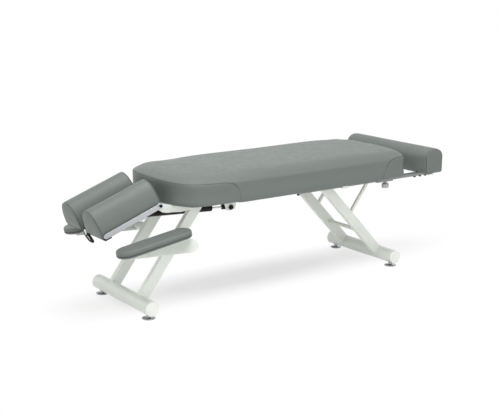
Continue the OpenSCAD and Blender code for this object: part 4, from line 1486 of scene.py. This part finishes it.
@dataclass
class BaseFrame:
    """Foot tubes, leaning legs, rails, hinge ears and welds. Millimetres."""

    foot_z: float = 47.45
    foot_r: float = 30.25
    leg_y: float = 117.2
    leg_w: float = 25.0
    leg_d: float = 45.0
    leg_in: float = 4.0
    leans: dict[str, float] = field(default_factory=lambda: {"head": 52.7, "rear": 46.6})
    rail_z: float = 404.0
    spindle_r: float = 22.0
    spindle: Point = (-483.741, 280.0)
    weld_out: float = 0.4
    spindle_out: float = 0.3
    arc_steps: int = 16
    ring_steps: int = 48
    rail_bead: float = 1.5
    spindle_bead: float = 1.6

    def build(self) -> None:
        """Dresses the CAD's steel and adds its welds."""
        for end in FOOT_X:
            dress(f"{end}_foot_tube", "base", FRAME_PAINT)
            for side, _ in SIDES:
                dress(f"{end}_leg_{side}", "base", FRAME_PAINT, TUBE)
        for node, finish, edges in (
                ("foot_tube_caps", CAP_WHITE, PLATE), ("foot_lock_nuts", FASTENER, FINE),
                ("frame_bolts", FASTENER, FINE), ("hinge_bolts", BLACK_PART, PLATE),
                ("rear_cross_bar", FRAME_PAINT, FINE), ("head_cross_rail", FRAME_PAINT, TUBE),
                ("middle_cross_rail", FRAME_PAINT, TUBE), ("foot_cross_rail", FRAME_PAINT, TUBE)):
            dress(node, "base", finish, edges)
        for side, _ in SIDES:
            for name, edges in (("side_rail", TUBE), ("brace", FINE), ("hinge_ear", PLATE)):
                dress(f"{name}_{side}", "base", FRAME_PAINT, edges)
        piece_of(joined(self.welds()), "frame_welds", "base", FRAME_PAINT)

    def leg_weld(self, end: str, sign: int) -> list[Vector]:
        """Path where a leg is coped round its foot tube.

        Args:
            end: Head or rear.
            sign: 1 on the left, -1 on the right.

        Returns:
            The closed path, in metres.
        """
        lean = math.radians(self.leans[end])
        inward = 1 if end == "head" else -1
        along = Vector((inward * math.cos(lean), math.sin(lean)))
        across = Vector((-along.y, along.x))
        offset = Vector((inward * self.leg_in, 0)).dot(across)
        corners = []
        for edge in (-1, 1):
            away = offset + edge * self.leg_d / 2
            corners.append(math.atan2(away, math.sqrt(self.foot_r ** 2 - away ** 2)))
        arc = []
        for step in range(self.arc_steps + 1):
            angle = corners[0] + (corners[1] - corners[0]) * step / self.arc_steps
            point = (along * math.cos(angle) + across * math.sin(angle)) * (self.foot_r + self.weld_out)
            arc.append((FOOT_X[end] + point.x, self.foot_z + point.y))
        outer, inner = (sign * (self.leg_y + side * self.leg_w / 2) for side in (1, -1))
        return [Vector((x, y, z)) * MM
                for y, places in ((outer, arc), (inner, arc[::-1])) for x, z in places]

    def rail_weld(self, end: str, sign: int) -> list[Vector]:
        """Corners of a leg's top under the side rail.

        Args:
            end: Head or rear.
            sign: 1 on the left, -1 on the right.

        Returns:
            The corners, in metres.
        """
        lean = math.radians(self.leans[end])
        rise = (self.rail_z - self.foot_z) / math.tan(lean)
        top = FOOT_X[end] + (1 if end == "head" else -1) * (self.leg_in + rise)
        half, half_w = self.leg_d / 2 / math.sin(lean), self.leg_w / 2
        return [Vector((top + x * half, sign * self.leg_y + y * half_w, self.rail_z)) * MM
                for x, y in ((-1, -1), (1, -1), (1, 1), (-1, 1))]

    def spindle_weld(self, sign: int) -> list[Vector]:
        """Circle round an armrest's spindle on its leg.

        Args:
            sign: 1 on the left, -1 on the right.

        Returns:
            The circle's points, in metres.
        """
        x, z = self.spindle
        radius, face = self.spindle_r, sign * (self.leg_y + self.leg_w / 2 + self.spindle_out)
        angles = [math.tau * step / self.ring_steps for step in range(self.ring_steps)]
        return [Vector((x + radius * math.cos(angle), face, z + radius * math.sin(angle))) * MM
                for angle in angles]

    def welds(self) -> list[bmesh.types.BMesh]:
        """Beads round the legs' feet and tops and round the spindles' flanges.

        Returns:
            The beads.
        """
        beads = []
        for _, sign in SIDES:
            for end in FOOT_X:
                beads += [weld_bead(self.leg_weld(end, sign)),
                          weld_bead(self.rail_weld(end, sign), self.rail_bead)]
            beads.append(weld_bead(self.spindle_weld(sign), self.spindle_bead))
        return beads


@dataclass
class LevellingFeet:
    """Four turned feet with rubber soles. Millimetres."""

    y: float = 198.0
    smooth: float = 28.0
    disc: tuple[Point, ...] = (
        (0, 2.6), (25.6, 2.6), (27.0, 3.0), (27.5, 3.7), (27.2, 4.4), (25.5, 5.1), (20.0, 6.4),
        (13.0, 7.2), (10.2, 7.8), (9.3, 8.8), (9.0, 9.8), (8.6, 11.4), (8.0, 11.9), (5.0, 11.9),
        (5.0, 35.0), (0, 35.0))
    sole: tuple[Point, ...] = (
        (0, 0), (24.6, 0), (26.0, 0.5), (26.9, 1.4), (27.3, 2.4), (27.1, 3.1), (26.0, 3.2), (0, 3.2))

    def build(self) -> None:
        """Builds each foot's plated disc and its sole."""
        for end, x in FOOT_X.items():
            for side, sign in SIDES:
                node = f"levelling_foot_{end}_{side}"
                centre = Vector((x, sign * self.y, 0)) * MM
                piece_of(lathe(self.disc, centre), f"{node}_disc", node, FOOT_STEEL, [node],
                         self.smooth)
                piece_of(lathe(self.sole, centre), f"{node}_sole", node, SOLE, (), self.smooth)


@dataclass(frozen=True)
class Lamp:
    """Square soft lamp that looks at the table: metres and watts."""

    name: str
    place: tuple[float, float, float]
    size: float
    power: float
    target: tuple[float, float, float] = (0.0, 0.0, 0.35)

    def build(self) -> None:
        """Hangs the lamp."""
        light = bpy.data.lights.new(self.name, "AREA")
        light.size = self.size
        light.energy = self.power
        lamp = bpy.data.objects.new(self.name, light)
        lamp.location = self.place
        aim = Vector(self.target) - Vector(self.place)
        lamp.rotation_euler = aim.to_track_quat("-Z", "Y").to_euler()
        bpy.context.scene.collection.objects.link(lamp)


@dataclass
class Studio:
    """Camera, soft light and a white floor. Metres."""

    location: tuple[float, float, float] = (-2.58657, -3.61040, 1.36350)
    rotation: tuple[float, float, float] = (76.80, 0.0, -35.30)
    lens: float = 74.21
    sensor: float = 36.0
    floor: float = 60.0
    white: float = 0.95
    # Oval band of the floor's painted glow: its middle, its stretch along X, the distances over which
    # the glow rises, and the glow's share there
    shade_middle: float = 0.06
    shade_stretch: float = 0.16
    shadow: tuple[float, float] = (0.06, 0.24)
    glow: tuple[float, float] = (0.50, 1.0)
    world: tuple[float, float] = (0.70, 1.0)
    lamps: tuple[Lamp, ...] = (
        Lamp("top", (-0.35, -0.5, 3.0), 1.7, 50.0),
        Lamp("head", (-4.2, -0.4, 1.9), 2.8, 3.0),
        Lamp("front", (-1.2, -4.6, 1.4), 3.0, 42.0),
        Lamp("back", (-2.2, 4.2, 1.8), 3.0, 16.0))

    def build(self) -> None:
        """Sets the scene up round the table."""
        scene = bpy.context.scene
        scene.view_settings.view_transform = "Standard"
        self.build_camera(scene)
        self.build_world(scene)
        self.build_floor()
        for lamp in self.lamps:
            lamp.build()

    def build_camera(self, scene: bpy.types.Scene) -> None:
        """The photograph's camera.

        Args:
            scene: The scene that it looks at.
        """
        data = bpy.data.cameras.new("camera")
        data.lens = self.lens
        data.sensor_width = self.sensor
        data.sensor_fit = "HORIZONTAL"
        camera = bpy.data.objects.new("camera", data)
        camera.location = self.location
        camera.rotation_euler = [math.radians(part) for part in self.rotation]
        scene.collection.objects.link(camera)
        scene.camera = camera

    def build_world(self, scene: bpy.types.Scene) -> None:
        """Even pale light, white where the camera and gloss look at it.

        Args:
            scene: The scene that it lights.
        """
        world = bpy.data.worlds.new("studio")
        world.use_nodes = True
        tree = world.node_tree
        path = tree.nodes.new("ShaderNodeLightPath")
        background = tree.nodes["Background"]
        background.inputs["Color"].default_value = (1, 1, 1, 1)
        seen = tree.nodes.new("ShaderNodeMath")
        seen.operation = "MAXIMUM"
        tree.links.new(path.outputs["Is Camera Ray"], seen.inputs[0])
        tree.links.new(path.outputs["Is Glossy Ray"], seen.inputs[1])
        level = tree.nodes.new("ShaderNodeMapRange")
        level.inputs["To Min"].default_value = self.world[0]
        level.inputs["To Max"].default_value = self.world[1]
        tree.links.new(seen.outputs[0], level.inputs["Value"])
        tree.links.new(level.outputs[0], background.inputs["Strength"])
        scene.world = world

    def build_floor(self) -> None:
        """White floor that keeps the shadow under the table and is plain white round it: a painted glow
        seen by the camera rises from half to full away from an oval band under the table, and whitens
        any shadow beyond the band.
        """
        bm = bmesh.new()
        bmesh.ops.create_grid(bm, x_segments=1, y_segments=1, size=self.floor)
        mesh = bpy.data.meshes.new("floor")
        bm.to_mesh(mesh)
        bm.free()
        floor = bpy.data.objects.new("floor", mesh)
        bpy.context.scene.collection.objects.link(floor)
        graph = Graph("floor_white")
        graph.set(Base_Color=(*[self.white] * 3, 1), Roughness=0.9, Specular_IOR_Level=0.0)
        band = graph.add("ShaderNodeMapping", {
            "Vector": graph.place, "Location": (0, -self.shade_middle, 0),
            "Scale": (self.shade_stretch, 1, 1)}).outputs[0]
        away = graph.add("ShaderNodeVectorMath", {0: band}, operation="LENGTH").outputs["Value"]
        # Painted glow: the camera-seen white's share rises with distance from the band, whitening
        # shadow there
        share = graph.span(away, self.shadow, self.glow)
        rays = graph.add("ShaderNodeLightPath").outputs
        seen = graph.maths("MAXIMUM", rays["Is Camera Ray"],
                           graph.maths("MAXIMUM", rays["Is Glossy Ray"], rays["Is Transmission Ray"]))
        cover = graph.add("ShaderNodeMixShader", {0: graph.maths("MULTIPLY", seen, share),
                                                  1: graph.shader.outputs[0],
                                                  2: graph.add("ShaderNodeEmission").outputs[0]})
        graph.tree.links.new(cover.outputs[0], graph.tree.nodes["Material Output"].inputs["Surface"])
        mesh.materials.append(graph.material)


def main() -> None:
    """Builds the studio and every part of the table."""
    logging.basicConfig(level=logging.INFO, format="%(message)s")
    for part in (Studio(), BaseFrame(), LevellingFeet(), PaddedTop(), FaceRest(), GasSpring(),
                 Armrests(), AnkleBolster()):
        LOG.info("building %s", type(part).__name__)
        part.build()


if __name__ == "__main__":
    main()
